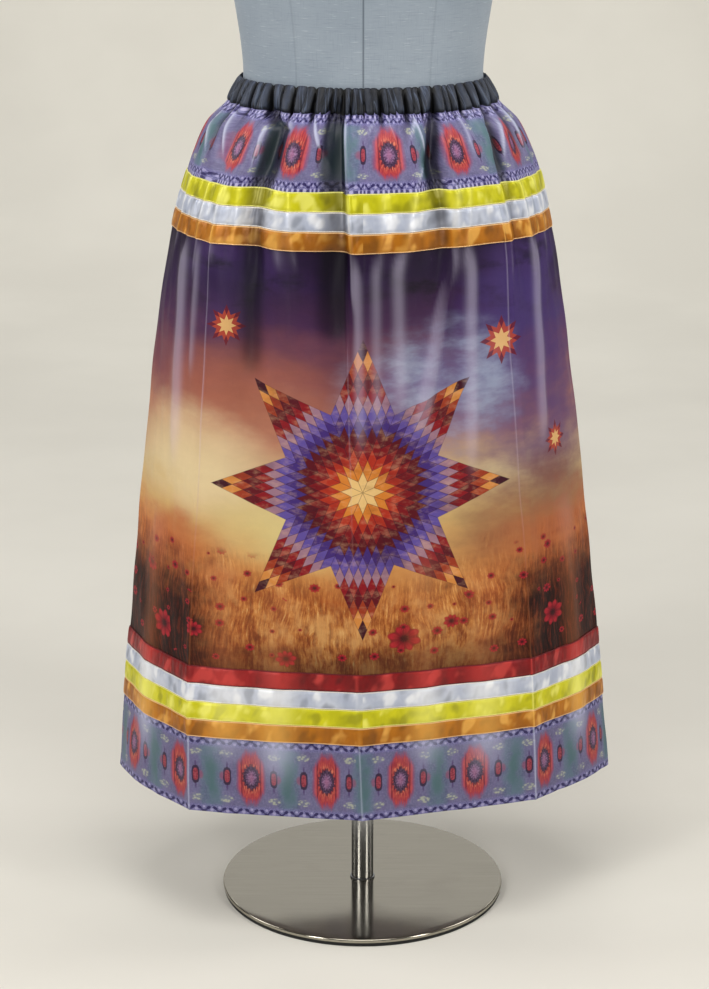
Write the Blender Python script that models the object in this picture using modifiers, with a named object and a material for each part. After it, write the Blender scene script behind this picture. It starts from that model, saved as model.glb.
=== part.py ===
"""Ribbon skirt worn by a limbless dress form on a round steel stand.

Metres, +Z up, -Y is the front. The origin is on the floor, under the centre of the pole.

The skirt is a closed ring of cloth at every height. A ring is drawn through eight corners: the front centre,
the two front creases, the two side seams, the two back creases and the back centre. The corners come from
SKIRT_ROWS, which also says how sharp the creases are and how deep the gathers and folds stand at that height.
Every piece of cloth takes its points from that one surface: the panels are its wall, and the ribbons that are
sewn on it are the same points moved out.
"""

import math
from collections import namedtuple

import bmesh
import bpy

# ---------------------------------------------------------------- driving dimensions

# The stand.
BASE_RADIUS = 0.178
BASE_THICKNESS = 0.007
BASE_EDGE_ROUNDING = 0.0022
PAD_RADIUS = 0.172
PAD_THICKNESS = 0.002
POLE_RADIUS = 0.014
POLE_RING_RADIUS = 0.0162
POLE_RING_HEIGHT = 0.003
STAND_SEGMENTS = 48

# The gap that pieces keep where they meet.
SEAM_GAP = 0.0003

# Wall thicknesses of the cloth.
CLOTH_WALL = 0.0015
CASING_WALL = 0.0020
RIBBON_WALL = 0.0010
RIBBON_LIFT = 0.0005

# Heights of the sewing lines above the floor.
WAIST_TOP = 1.0300
CASING_BOTTOM = 1.0035
UPPER_SEAM = 0.9210
LOWER_SEAM = 0.2640
HEM = 0.1650

# How finely the rings are cut: steps from one corner to the next, for gathered, folded and flat cloth.
CORNERS = 8
GATHERED_STEPS = 24
FOLDED_STEPS = 12
FLAT_STEPS = 9

# Gathers of the elastic waist, all the way round.
GATHER_COUNT = 48
Wave = namedtuple("Wave", "amount count phase")
GATHER_DRIFT = (Wave(0.0040, 3, 0.7), Wave(0.0025, 7, 2.1))
GATHER_SWELL = (Wave(0.15, 5, 1.3), Wave(0.10, 11, 0.2))

# Folds grow wider on their way down, by this share of their width for each metre.
FOLD_SPREAD = 2.5

# A smooth ring through eight corners has tangents this much longer than half the chord past a corner.
ROUND_TANGENT = 1.125

# The side seams lie at these shares of the ring, and each panel stops short of them by SEAM_SHARE.
SIDE_RIGHT = 0.25
SIDE_LEFT = 0.75
SEAM_SHARE = 0.0002

# ---------------------------------------------------------------- tables

# One ring of the skirt. left, right, front and back are how far it reaches from the pole. The creases are
# places in plan. sharp is 0 for a round ring and 1 for straight sides. gather is half the height of the gathers,
# and fold is the share of each fold's depth.
Row = namedtuple(
    "Row", "height left right front back left_crease right_crease back_crease sharp gather fold"
)
SKIRT_ROWS = (
    Row(1.030, 0.143, 0.143, 0.109, 0.107, (0.101, 0.077), (0.101, 0.077), (0.101, 0.076), 0.00, 0.0012, 0.00),
    Row(1.0035, 0.157, 0.157, 0.123, 0.123, (0.111, 0.087), (0.111, 0.087), (0.111, 0.087), 0.00, 0.0026, 0.50),
    Row(0.975, 0.182, 0.181, 0.145, 0.149, (0.128, 0.102), (0.126, 0.102), (0.127, 0.106), 0.00, 0.0022, 0.95),
    Row(0.945, 0.197, 0.1965, 0.158, 0.162, (0.141, 0.108), (0.138, 0.104), (0.139, 0.115), 0.10, 0.0008, 1.00),
    Row(0.921, 0.2065, 0.206, 0.165, 0.168, (0.151, 0.110), (0.148, 0.103), (0.147, 0.119), 0.25, 0.0, 0.70),
    Row(0.854, 0.225, 0.223, 0.174, 0.176, (0.170, 0.110), (0.166, 0.099), (0.164, 0.124), 0.45, 0.0, 0.52),
    Row(0.763, 0.2425, 0.2385, 0.174, 0.183, (0.179, 0.116), (0.175, 0.102), (0.175, 0.128), 0.55, 0.0, 0.50),
    Row(0.640, 0.258, 0.256, 0.172, 0.190, (0.190, 0.121), (0.187, 0.104), (0.187, 0.133), 0.65, 0.0, 0.42),
    Row(0.500, 0.274, 0.2735, 0.170, 0.196, (0.201, 0.127), (0.199, 0.106), (0.198, 0.138), 0.72, 0.0, 0.30),
    Row(0.350, 0.288, 0.290, 0.169, 0.201, (0.208, 0.134), (0.206, 0.108), (0.206, 0.143), 0.80, 0.0, 0.15),
    Row(0.260, 0.2955, 0.299, 0.171, 0.2035, (0.210, 0.138), (0.209, 0.109), (0.208, 0.146), 0.84, 0.0, 0.08),
    Row(0.165, 0.303, 0.308, 0.173, 0.206, (0.210, 0.142), (0.212, 0.110), (0.210, 0.148), 0.86, 0.0, 0.00),
)

# One row of ribbons, lapped edge to edge from the top down. step is how far each lies below the one above.
RibbonGroup = namedtuple("RibbonGroup", "name top step ring_steps colours")
RIBBON_GROUPS = (
    RibbonGroup("ribbon_upper", 0.9210, 0.0223, FOLDED_STEPS, ("yellow", "white", "orange")),
    RibbonGroup("ribbon_lower", 0.3500, 0.0224, FLAT_STEPS, ("red", "white", "yellow", "orange")),
)

# One fold that hangs from the gathers: where it lies round the ring at the waist and at the upper seam (0 is the
# front centre, 0.25 the right side), how far it reaches to either side as a share of the ring, how deep it is,
# and the height where it has died out.
Fold = namedtuple("Fold", "waist seam before after depth dies_at")
FOLDS = (
    Fold(-0.232, -0.218, 0.011, 0.010, 0.0055, 0.62),
    Fold(-0.192, -0.174, 0.010, 0.009, 0.0060, 0.70),
    Fold(-0.156, -0.141, 0.009, 0.009, 0.0045, 0.82),
    Fold(-0.114, -0.093, 0.012, 0.015, 0.0095, 0.45),
    Fold(-0.081, -0.072, 0.008, 0.008, 0.0040, 0.86),
    Fold(-0.057, -0.050, 0.008, 0.007, 0.0055, 0.84),
    Fold(-0.036, -0.034, 0.007, 0.007, 0.0030, 0.88),
    Fold(-0.0185, -0.0185, 0.016, 0.006, 0.0125, 0.50),
    Fold(0.019, 0.019, 0.007, 0.007, 0.0045, 0.86),
    Fold(0.049, 0.045, 0.008, 0.008, 0.0050, 0.78),
    Fold(0.083, 0.072, 0.010, 0.009, 0.0090, 0.52),
    Fold(0.118, 0.104, 0.008, 0.009, 0.0050, 0.78),
    Fold(0.155, 0.142, 0.010, 0.009, 0.0060, 0.66),
    Fold(0.200, 0.190, 0.010, 0.012, 0.0065, 0.60),
    Fold(0.236, 0.232, 0.009, 0.010, 0.0050, 0.72),
    Fold(0.278, 0.276, 0.010, 0.012, 0.0065, 0.58),
    Fold(0.318, 0.320, 0.009, 0.009, 0.0050, 0.80),
    Fold(0.352, 0.358, 0.014, 0.008, 0.0095, 0.50),
    Fold(0.386, 0.390, 0.008, 0.008, 0.0040, 0.86),
    Fold(0.421, 0.424, 0.008, 0.009, 0.0060, 0.70),
    Fold(0.449, 0.451, 0.007, 0.008, 0.0040, 0.85),
    Fold(0.487, 0.488, 0.007, 0.015, 0.0115, 0.50),
    Fold(0.523, 0.522, 0.008, 0.007, 0.0045, 0.84),
    Fold(0.556, 0.552, 0.009, 0.008, 0.0060, 0.68),
    Fold(0.593, 0.588, 0.008, 0.008, 0.0045, 0.82),
    Fold(0.631, 0.622, 0.014, 0.010, 0.0090, 0.52),
    Fold(0.672, 0.664, 0.009, 0.009, 0.0050, 0.78),
    Fold(0.716, 0.712, 0.010, 0.011, 0.0060, 0.62),
)

# One level section of the dress form: an ellipse that is fuller in front than behind, or the reverse.
FormRow = namedtuple("FormRow", "height half_width front back")
FORM_ROWS = (
    FormRow(0.7700, 0.1560, 0.1060, 0.1160),
    FormRow(0.7800, 0.1690, 0.1150, 0.1270),
    FormRow(0.8300, 0.1800, 0.1200, 0.1350),
    FormRow(0.8800, 0.1750, 0.1180, 0.1300),
    FormRow(0.9300, 0.1630, 0.1130, 0.1200),
    FormRow(0.9800, 0.1480, 0.1085, 0.1090),
    FormRow(1.0300, 0.1395, 0.1055, 0.1035),
    FormRow(1.0600, 0.1408, 0.1065, 0.1040),
    FormRow(1.1170, 0.1487, 0.1120, 0.1070),
    FormRow(1.1700, 0.1575, 0.1190, 0.1110),
    FormRow(1.2300, 0.1640, 0.1260, 0.1140),
    FormRow(1.2900, 0.1660, 0.1270, 0.1160),
    FormRow(1.3500, 0.1670, 0.1180, 0.1150),
    FormRow(1.4000, 0.1690, 0.1050, 0.1080),
    FormRow(1.4350, 0.1660, 0.0930, 0.0980),
    FormRow(1.4560, 0.1460, 0.0830, 0.0880),
    FormRow(1.4710, 0.1130, 0.0730, 0.0770),
    FormRow(1.4850, 0.0800, 0.0640, 0.0660),
    FormRow(1.5050, 0.0620, 0.0580, 0.0590),
    FormRow(1.5500, 0.0560, 0.0555, 0.0555),
)
FORM_SEGMENTS = 40
NECK_CAP_RADIUS = 0.0535
NECK_CAP_HEIGHT = 0.0100
NECK_CAP_ROUNDING = 0.0030

# Plain colours of the model's materials: colour, metallic, roughness.
Finish = namedtuple("Finish", "colour metallic roughness")
FINISHES = {
    "black_satin": Finish((0.030, 0.032, 0.042), 0.0, 0.45),
    "border_print": Finish((0.230, 0.220, 0.420), 0.0, 0.40),
    "picture_print": Finish((0.420, 0.200, 0.130), 0.0, 0.40),
    "yellow_ribbon": Finish((0.700, 0.650, 0.020), 0.0, 0.35),
    "white_ribbon": Finish((0.720, 0.740, 0.820), 0.0, 0.35),
    "orange_ribbon": Finish((0.560, 0.210, 0.020), 0.0, 0.35),
    "red_ribbon": Finish((0.400, 0.012, 0.016), 0.0, 0.35),
    "form_cloth": Finish((0.260, 0.310, 0.360), 0.0, 0.85),
    "brushed_steel": Finish((0.520, 0.510, 0.480), 1.0, 0.30),
    "black_rubber": Finish((0.015, 0.015, 0.015), 0.0, 0.70),
}

# ---------------------------------------------------------------- small helpers


def mix(a, b, share):
    return a + (b - a) * share


def mix_pair(a, b, share):
    return mix(a[0], b[0], share), mix(a[1], b[1], share)


def smooth_step(value):
    value = min(1.0, max(0.0, value))
    return value * value * (3 - 2 * value)


# ---------------------------------------------------------------- the surface of the skirt


def row_corners(row):
    """The eight corners of a ring in plan, from the front centre towards the right side and on round."""
    left_x, left_y = row.left_crease
    right_x, right_y = row.right_crease
    back_x, back_y = row.back_crease
    return (
        (0.0, -row.front),
        (right_x, -right_y),
        (row.right, 0.0),
        (back_x, back_y),
        (0.0, row.back),
        (-back_x, back_y),
        (-row.left, 0.0),
        (-left_x, -left_y),
    )


def ring_point(corners, sharp, at):
    """The point of a closed ring at a share of the way round, where corner k lies at k / 8."""
    place = (at % 1.0) * CORNERS
    first = int(place) % CORNERS
    t = place - int(place)
    before, start, end, after = (corners[(first + step) % CORNERS] for step in (-1, 0, 1, 2))
    t2, t3 = t * t, t * t * t
    weights = (2 * t3 - 3 * t2 + 1, t3 - 2 * t2 + t, 3 * t2 - 2 * t3, t3 - t2)
    point = []
    for axis in (0, 1):
        side = end[axis] - start[axis]
        leaving = mix(ROUND_TANGENT * (end[axis] - before[axis]) / 2, side, sharp)
        arriving = mix(ROUND_TANGENT * (after[axis] - start[axis]) / 2, side, sharp)
        values = (start[axis], leaving, end[axis], arriving)
        point.append(sum(weight * value for weight, value in zip(weights, values)))
    return point


def round_offset(at, other):
    """How far two places on the ring lie apart, as a share of the ring from -0.5 to 0.5."""
    return (at - other + 0.5) % 1.0 - 0.5


def slow_waves(at, waves):
    """A sum of slow waves round the ring. Each has an amount, a count and a phase."""
    return sum(wave.amount * math.sin(2 * math.pi * wave.count * at + wave.phase) for wave in waves)


def gather_wave(at):
    """The uneven gathers of the elastic, from -1 in the deepest groove to 1 on the highest ridge."""
    height = 0.75 + slow_waves(at, GATHER_SWELL)
    return height * math.sin(2 * math.pi * GATHER_COUNT * (at + slow_waves(at, GATHER_DRIFT)))


def fold_depth(at, height):
    """How far the folds push the cloth in at this place, before the row's share."""
    spread = 1 + FOLD_SPREAD * (WAIST_TOP - height)
    lean = min(1.0, (WAIST_TOP - height) / (WAIST_TOP - UPPER_SEAM))
    depth = 0.0
    for fold in FOLDS:
        offset = round_offset(at, mix(fold.waist, fold.seam, lean))
        reach = spread * (fold.before if offset < 0 else fold.after)
        fade = smooth_step((height - fold.dies_at) / (WAIST_TOP - fold.dies_at))
        depth += fold.depth * fade * math.exp(-((offset / reach) ** 2))
    return depth


def row_point(row, at):
    """The outer face of the cloth on one row, in plan, with its gathers and folds."""
    corners = row_corners(row)
    x, y = ring_point(corners, row.sharp, at)
    out_x, out_y = outward(lambda place: ring_point(corners, row.sharp, place), at)
    rise = row.gather * gather_wave(at) - row.fold * fold_depth(at, row.height)
    return x + out_x * rise, y + out_y * rise


def outward(curve, at, step=0.004):
    """The unit normal of a ring in plan that points away from the pole."""
    ahead, behind = curve(at + step), curve(at - step)
    along_x, along_y = ahead[0] - behind[0], ahead[1] - behind[1]
    length = math.hypot(along_x, along_y)
    return along_y / length, -along_x / length


def rows_around(height):
    """The two table rows that a height lies between, and how far it is from the first to the second."""
    for upper, lower in zip(SKIRT_ROWS, SKIRT_ROWS[1:]):
        if height >= lower.height:
            break
    return upper, lower, (upper.height - height) / (upper.height - lower.height)


def cloth_point(at, height, out=0.0):
    """A point of the skirt at a place round the ring and a height, moved out from the cloth's outer face."""
    upper, lower, share = rows_around(height)

    def level_ring(place):
        return mix_pair(row_point(upper, place), row_point(lower, place), share)

    x, y = level_ring(at)
    out_x, out_y = outward(level_ring, at, step=0.002)
    return x + out_x * out, y + out_y * out, height


def heights_between(top, bottom):
    """The heights of a piece's rows: its two edges, and the table's rows and ribbon edges between them."""
    levels = {row.height for row in SKIRT_ROWS}
    levels |= {ribbon_top(RIBBON_GROUPS[0], index) for index in (1, 2)}
    between = sorted((level for level in levels if bottom < level < top), reverse=True)
    return [top, *between, bottom]


def ribbon_top(group, index):
    return group.top - index * group.step


def places(start, end, steps):
    """Places round the ring from start to end, with a point on each corner that is passed."""
    count = round((end - start) * CORNERS * steps)
    return [start + (end - start) * index / count for index in range(count + 1)]


# ---------------------------------------------------------------- meshes and objects


def start_clean():
    for item in list(bpy.data.objects):
        bpy.data.objects.remove(item, do_unlink=True)


def make_collection(name):
    collection = bpy.data.collections.new(name)
    bpy.context.scene.collection.children.link(collection)
    return collection


def make_material(name):
    """The material of this name, made once."""
    if name in bpy.data.materials:
        return bpy.data.materials[name]
    finish = FINISHES[name]
    material = bpy.data.materials.new(name)
    material.use_nodes = True
    shader = material.node_tree.nodes["Principled BSDF"]
    shader.inputs["Base Color"].default_value = (*finish.colour, 1.0)
    shader.inputs["Metallic"].default_value = finish.metallic
    shader.inputs["Roughness"].default_value = finish.roughness
    material.diffuse_color = (*finish.colour, 1.0)
    return material


def add_mesh_object(name, points, faces, material, smooth_angle=0.7):
    mesh = bpy.data.meshes.new(name)
    mesh.from_pydata(points, [], faces)
    mesh.materials.append(material)
    mesh.shade_smooth()
    mesh.set_sharp_from_angle(angle=smooth_angle)
    item = bpy.data.objects.new(name, mesh)
    PART.objects.link(item)
    return item


def grid_faces(columns, rows, closed, first=0, inside_out=False):
    """Quads of a grid of points, whose rows run round the pole and follow each other downwards."""
    faces = []
    for row in range(rows - 1):
        here, below = first + row * columns, first + (row + 1) * columns
        for column in range(columns if closed else columns - 1):
            after = (column + 1) % columns
            quad = (here + column, below + column, below + after, here + after)
            faces.append(quad[::-1] if inside_out else quad)
    return faces


def edge_faces(edge, inside, closed, inside_out):
    """Quads that close a wall along one edge, from its outer points to those that lie behind them."""
    faces = []
    for index in range(len(edge) if closed else len(edge) - 1):
        here, after = edge[index], edge[(index + 1) % len(edge)]
        quad = (here, after, after + inside, here + inside)
        faces.append(quad[::-1] if inside_out else quad)
    return faces


def cloth_wall(name, material, stretch, steps, top, bottom, wall, face=0.0):
    """A wall of cloth between two heights. stretch is None for a whole ring, or its two ends round the ring.

    face is how far the wall's outer face lies outside the cloth's own outer face. The inner face follows the
    same ring, so that two panels meet squarely at a creased side seam.
    """
    closed = stretch is None
    columns = places(0.0, 1.0, steps)[:-1] if closed else places(*stretch, steps)
    heights = heights_between(top, bottom)
    wide, deep = len(columns), len(heights)
    outer = [cloth_point(at, height, face) for height in heights for at in columns]
    inner = [cloth_point(at, height, face - wall) for height in heights for at in columns]
    inside = len(outer)
    faces = grid_faces(wide, deep, closed)
    faces += grid_faces(wide, deep, closed, first=inside, inside_out=True)
    faces += edge_faces(range(wide), inside, closed, inside_out=False)
    faces += edge_faces(range(inside - wide, inside), inside, closed, inside_out=True)
    if not closed:
        faces += edge_faces(range(0, inside, wide), inside, closed, inside_out=True)
        faces += edge_faces(range(wide - 1, inside, wide), inside, closed, inside_out=False)
    return add_mesh_object(name, outer + inner, faces, make_material(material))


# ---------------------------------------------------------------- the skirt's pieces


def build_waistband():
    """The gathered casing of the elastic, a closed ring that holds the skirt up."""
    cloth_wall("waistband", "black_satin", None, GATHERED_STEPS, WAIST_TOP, CASING_BOTTOM, CASING_WALL)


def build_panels():
    """The printed cloth, in three lengths. Each is a front and a back, joined at the side seams."""
    lengths = (
        ("upper_band", "border_print", GATHERED_STEPS, CASING_BOTTOM - SEAM_GAP, UPPER_SEAM + SEAM_GAP),
        ("panel", "picture_print", FOLDED_STEPS, UPPER_SEAM, LOWER_SEAM),
        ("hem_band", "border_print", FLAT_STEPS, LOWER_SEAM - SEAM_GAP, HEM),
    )
    sides = (
        ("front", (SIDE_LEFT - 1.0 + SEAM_SHARE, SIDE_RIGHT - SEAM_SHARE)),
        ("back", (SIDE_RIGHT + SEAM_SHARE, SIDE_LEFT - SEAM_SHARE)),
    )
    for length, material, steps, top, bottom in lengths:
        for side, stretch in sides:
            cloth_wall(f"{length}_{side}", material, stretch, steps, top, bottom, CLOTH_WALL)


def build_ribbons():
    """The satin ribbons, each a ring sewn on the cloth: its points are the cloth's own, moved out."""
    for group in RIBBON_GROUPS:
        for index, colour in enumerate(group.colours):
            top = ribbon_top(group, index)
            bottom = ribbon_top(group, index + 1) + SEAM_GAP
            name = f"{group.name}_{colour}"
            face = RIBBON_LIFT + RIBBON_WALL
            cloth_wall(name, f"{colour}_ribbon", None, group.ring_steps, top, bottom, RIBBON_WALL, face)


# ---------------------------------------------------------------- the dress form and its stand


def form_ring(row):
    """The points of one level section of the dress form."""
    points = []
    for index in range(FORM_SEGMENTS):
        angle = 2 * math.pi * index / FORM_SEGMENTS
        reach = row.front if math.cos(angle) > 0 else row.back
        points.append((row.half_width * math.sin(angle), -reach * math.cos(angle), row.height))
    return points


def build_form():
    """The torso is a loft through its level sections, closed flat below and at the neck."""
    rings = FORM_ROWS[::-1]
    points = [point for row in rings for point in form_ring(row)]
    faces = grid_faces(FORM_SEGMENTS, len(rings), closed=True)
    faces.append(tuple(range(FORM_SEGMENTS)))
    last_ring = (len(rings) - 1) * FORM_SEGMENTS
    faces.append(tuple(last_ring + index for index in reversed(range(FORM_SEGMENTS))))
    add_mesh_object("dress_form", points, faces, make_material("form_cloth"), smooth_angle=0.9)


def add_disc(name, material, radius, bottom, thickness, rounding=0.0, segments=STAND_SEGMENTS):
    """A closed cylinder standing on a height, with its edges rounded where rounding is given."""
    mesh = bpy.data.meshes.new(name)
    shape = bmesh.new()
    bmesh.ops.create_cone(
        shape, cap_ends=True, segments=segments, radius1=radius, radius2=radius, depth=thickness
    )
    shape.to_mesh(mesh)
    shape.free()
    mesh.materials.append(make_material(material))
    mesh.shade_smooth()
    mesh.set_sharp_from_angle(angle=0.6)
    item = bpy.data.objects.new(name, mesh)
    item.location = (0.0, 0.0, bottom + thickness / 2)
    PART.objects.link(item)
    if rounding:
        bevel = item.modifiers.new("rounded_edge", "BEVEL")
        bevel.width = rounding
        bevel.segments = 2
        bevel.limit_method = "ANGLE"
    return item


def build_pole_ring(bottom):
    """The trim ring round the foot of the pole: its section is turned about the pole with a Screw."""
    inner = POLE_RADIUS + SEAM_GAP
    section = (
        (POLE_RING_RADIUS - 0.0006, POLE_RING_HEIGHT),
        (POLE_RING_RADIUS, POLE_RING_HEIGHT - 0.0008),
        (POLE_RING_RADIUS, 0.0),
        (inner, 0.0),
        (inner, POLE_RING_HEIGHT),
    )
    mesh = bpy.data.meshes.new("pole_ring")
    points = [(radius, 0.0, height) for radius, height in section]
    edges = [(index, (index + 1) % len(points)) for index in range(len(points))]
    mesh.from_pydata(points, edges, [])
    mesh.materials.append(make_material("brushed_steel"))
    item = bpy.data.objects.new("pole_ring", mesh)
    item.location = (0.0, 0.0, bottom)
    PART.objects.link(item)
    turn = item.modifiers.new("turn", "SCREW")
    turn.steps = 32
    turn.render_steps = 32
    turn.use_merge_vertices = True
    turn.merge_threshold = 0.00001


def build_stand():
    plate_bottom = PAD_THICKNESS + SEAM_GAP
    plate_top = plate_bottom + BASE_THICKNESS
    pole_bottom = plate_top + SEAM_GAP
    pole_top = FORM_ROWS[0].height - SEAM_GAP
    cap_bottom = FORM_ROWS[-1].height + SEAM_GAP
    add_disc("base_pad", "black_rubber", PAD_RADIUS, 0.0, PAD_THICKNESS)
    add_disc("base_plate", "brushed_steel", BASE_RADIUS, plate_bottom, BASE_THICKNESS, BASE_EDGE_ROUNDING)
    add_disc("pole", "brushed_steel", POLE_RADIUS, pole_bottom, pole_top - pole_bottom, segments=32)
    build_pole_ring(pole_bottom)
    add_disc("neck_cap", "brushed_steel", NECK_CAP_RADIUS, cap_bottom, NECK_CAP_HEIGHT, NECK_CAP_ROUNDING, 40)


start_clean()
PART = make_collection("ribbon_skirt_on_dress_form")
build_waistband()
build_panels()
build_ribbons()
build_form()
build_stand()
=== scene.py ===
"""The looks of the ribbon skirt and the dress form that wears it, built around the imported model.

Metres, +Z up, -Y is the front. A place round the skirt is a share of the ring: 0 at the front centre, 0.25 on the
right side (+X), 0.5 at the back centre. The skirt's rings and the form's rows are those of part.py, drawn as smooth
curves. The folds are set more finely here, and gathers, creases and ripples too fine for the solids are added.
"""

import math
from collections import namedtuple
from functools import partialmethod

import bmesh
import bpy
import numpy as np
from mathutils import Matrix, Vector


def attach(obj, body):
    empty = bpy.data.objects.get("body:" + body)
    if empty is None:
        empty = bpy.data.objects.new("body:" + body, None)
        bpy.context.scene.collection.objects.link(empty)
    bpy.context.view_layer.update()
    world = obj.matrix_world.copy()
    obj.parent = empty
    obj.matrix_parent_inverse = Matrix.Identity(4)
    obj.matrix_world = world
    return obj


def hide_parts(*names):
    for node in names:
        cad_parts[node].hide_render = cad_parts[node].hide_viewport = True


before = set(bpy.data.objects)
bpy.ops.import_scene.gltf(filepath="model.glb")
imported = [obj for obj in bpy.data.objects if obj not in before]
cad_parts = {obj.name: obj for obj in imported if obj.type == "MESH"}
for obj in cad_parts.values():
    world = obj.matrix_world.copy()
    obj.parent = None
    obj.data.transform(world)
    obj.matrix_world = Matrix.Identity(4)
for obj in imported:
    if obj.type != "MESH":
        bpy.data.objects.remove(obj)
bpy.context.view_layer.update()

# ---------------------------------------------------------------- sizes that repeat part.py

WAIST_TOP = 1.03
CASING_BOTTOM = 1.0035
UPPER_SEAM = 0.921
LOWER_SEAM = 0.264
HEM = 0.165
SEAM_GAP = 0.0003
FOLD_SPREAD = 2.5
ROUND_TANGENT = 1.125
SIDE_RIGHT = 0.25
SIDE_LEFT = 0.75
SEAM_SHARE = 0.0002

# The stand. The rim and the pad are a little nearer the photo here than in part.py.
BASE_RADIUS = 0.178
PAD_RADIUS = 0.1768
PAD_THICKNESS = 0.0038
BASE_THICKNESS = 0.0052
POLE_RADIUS = 0.014
POLE_RING_RADIUS = 0.0157
POLE_RING_HEIGHT = 0.0024
NECK_CAP_RADIUS = 0.0535
NECK_CAP_HEIGHT = 0.01

# The skirt's rings, from the top. In 1/10 mm: height, left, right, front and back reach, then across and out to the
# left, right and back creases. In hundredths: how sharp the creases are, and the folds' share of their depth, which
# is more than in the solids, where walls are thick.
SKIRT_ROWS = np.array([
    (10300, 1430, 1430, 1090, 1070, 1010, 770, 1010, 770, 1010, 760, 0, 0),
    (10035, 1570, 1570, 1230, 1230, 1110, 870, 1110, 870, 1110, 870, 0, 85),
    (9750, 1820, 1810, 1450, 1490, 1280, 1020, 1260, 1020, 1270, 1060, 0, 140),
    (9450, 1970, 1965, 1580, 1620, 1410, 1080, 1380, 1040, 1390, 1150, 10, 145),
    (9210, 2065, 2060, 1650, 1680, 1510, 1100, 1480, 1030, 1470, 1190, 25, 105),
    (8540, 2250, 2230, 1740, 1760, 1700, 1100, 1660, 990, 1640, 1240, 45, 70),
    (7630, 2425, 2385, 1740, 1830, 1790, 1160, 1750, 1020, 1750, 1280, 55, 58),
    (6400, 2580, 2560, 1720, 1900, 1900, 1210, 1870, 1040, 1870, 1330, 65, 45),
    (5000, 2740, 2735, 1700, 1960, 2010, 1270, 1990, 1060, 1980, 1380, 72, 32),
    (3500, 2880, 2900, 1690, 2010, 2080, 1340, 2060, 1080, 2060, 1430, 80, 18),
    (2600, 2955, 2990, 1710, 2035, 2100, 1380, 2090, 1090, 2080, 1460, 84, 10),
    (1650, 3030, 3080, 1730, 2060, 2100, 1420, 2120, 1100, 2100, 1480, 86, 0),
])

RibbonGroup = namedtuple("RibbonGroup", "name top step colours")
RIBBON_GROUPS = (
    RibbonGroup("ribbon_upper", 0.921, 0.0223, ("yellow", "white", "orange")),
    RibbonGroup("ribbon_lower", 0.35, 0.0224, ("red", "white", "yellow", "orange")),
)

# A fold's place round the ring at each of these heights, how far it reaches on either side, its depth, and the height
# where it dies out. Places and reaches are in 1/10000 of the ring, depths in 1/10 mm and heights in mm. A fold with
# two places runs straight, from its place at the waist to that at the upper seam.
FOLD_LEVELS = (1.03, 1.0, 0.985, 0.95, 0.921, 0.84)
Fold = namedtuple("Fold", "path before after depth dies_at")


def make_fold(*row):
    *path, before, after, depth, dies_at = row
    path = [place / 1e4 for place in path]
    if len(path) == 2:
        waist, seam = path
        path = [waist + (seam - waist) * min(1.0, (1.03 - high) / 0.109) for high in FOLD_LEVELS]
    return Fold(path, before / 1e4, after / 1e4, depth / 1e4, dies_at / 1e3)


FOLDS = [make_fold(*row) for row in (
    (-2320, -2190, 100, 90, 45, 905), (-1990, -1990, -1960, -1890, -1840, -1800, 90, 80, 65, 900),
    (-1580, -1410, 70, 70, 30, 900), (-1229, -1156, -936, -920, -945, -930, 110, 120, 105, 450),
    (-876, -720, 60, 60, 30, 930), (-598, -597, -565, -490, -460, -460, 60, 50, 70, 930),
    (-384, -350, 50, 50, 25, 940), (-258, -250, -238, -212, -190, -150, 160, 34, 125, 500),
    (204, 100, 50, 50, 45, 965), (505, 420, 60, 60, 45, 900), (905, 855, 790, 690, 690, 680, 100, 48, 105, 520),
    (1274, 1040, 70, 70, 28, 930), (1694, 1660, 1565, 1475, 1430, 1400, 50, 80, 70, 660),
    (2050, 1900, 90, 100, 55, 895), (2360, 2320, 80, 90, 42, 900), (2780, 2760, 100, 120, 60, 740),
    (3180, 3200, 90, 90, 50, 840), (3520, 3540, 3600, 3610, 3580, 3580, 140, 60, 100, 500),
    (3860, 3900, 80, 80, 40, 900), (4210, 4240, 80, 70, 62, 780), (4490, 4510, 70, 80, 35, 910),
    (4840, 4850, 4900, 4930, 4880, 4860, 45, 150, 115, 500), (5230, 5220, 80, 70, 45, 880),
    (5560, 5520, 90, 70, 62, 720), (5930, 5880, 80, 80, 42, 880),
    (6310, 6290, 6220, 6180, 6220, 6230, 130, 60, 95, 520), (6720, 6640, 90, 90, 50, 840),
    (7160, 7120, 100, 110, 55, 780),
)]

# The dress form from its foot up, in 1/10 mm: height, half width, front and back reach.
FORM_ROWS = np.array([
    (7700, 1560, 1060, 1160), (7800, 1690, 1150, 1270), (8300, 1800, 1200, 1350), (8800, 1750, 1180, 1300),
    (9300, 1630, 1130, 1200), (9800, 1480, 1085, 1090), (10300, 1395, 1055, 1035), (10600, 1408, 1065, 1040),
    (11170, 1487, 1120, 1070), (11700, 1575, 1190, 1110), (12300, 1640, 1260, 1140), (12900, 1660, 1270, 1160),
    (13500, 1670, 1180, 1150), (14000, 1690, 1050, 1080), (14350, 1660, 930, 980), (14560, 1460, 830, 880),
    (14710, 1130, 730, 770), (14850, 800, 640, 660), (15050, 620, 580, 590), (15500, 560, 555, 555),
]) / 1e4
FORM_HEIGHTS, FORM_SIZES = FORM_ROWS[:, 0], FORM_ROWS[:, 1:]

# ---------------------------------------------------------------- finer form of the cloth

# A piece's columns are 1 / COLUMNS of the ring apart, and its rows are this far apart in height.
COLUMNS = 512
FINE_COLUMNS = 1024
PANEL_STEP = 0.0075
BAND_STEP = 0.0032
HEM_STEP = 0.006

# A soft ridge (rise above 0) or hollow of the satin: its place round the ring at its top and bottom end, half its
# width, its rise, and the heights of its ends, in the same units as the folds.
Ripple = namedtuple("Ripple", "start end width rise top bottom")


def make_ripples(*rows):
    units = (1e4, 1e4, 1e4, 1e4, 1e3, 1e3)
    return [Ripple(*(value / unit for value, unit in zip(row, units))) for row in rows]


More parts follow.
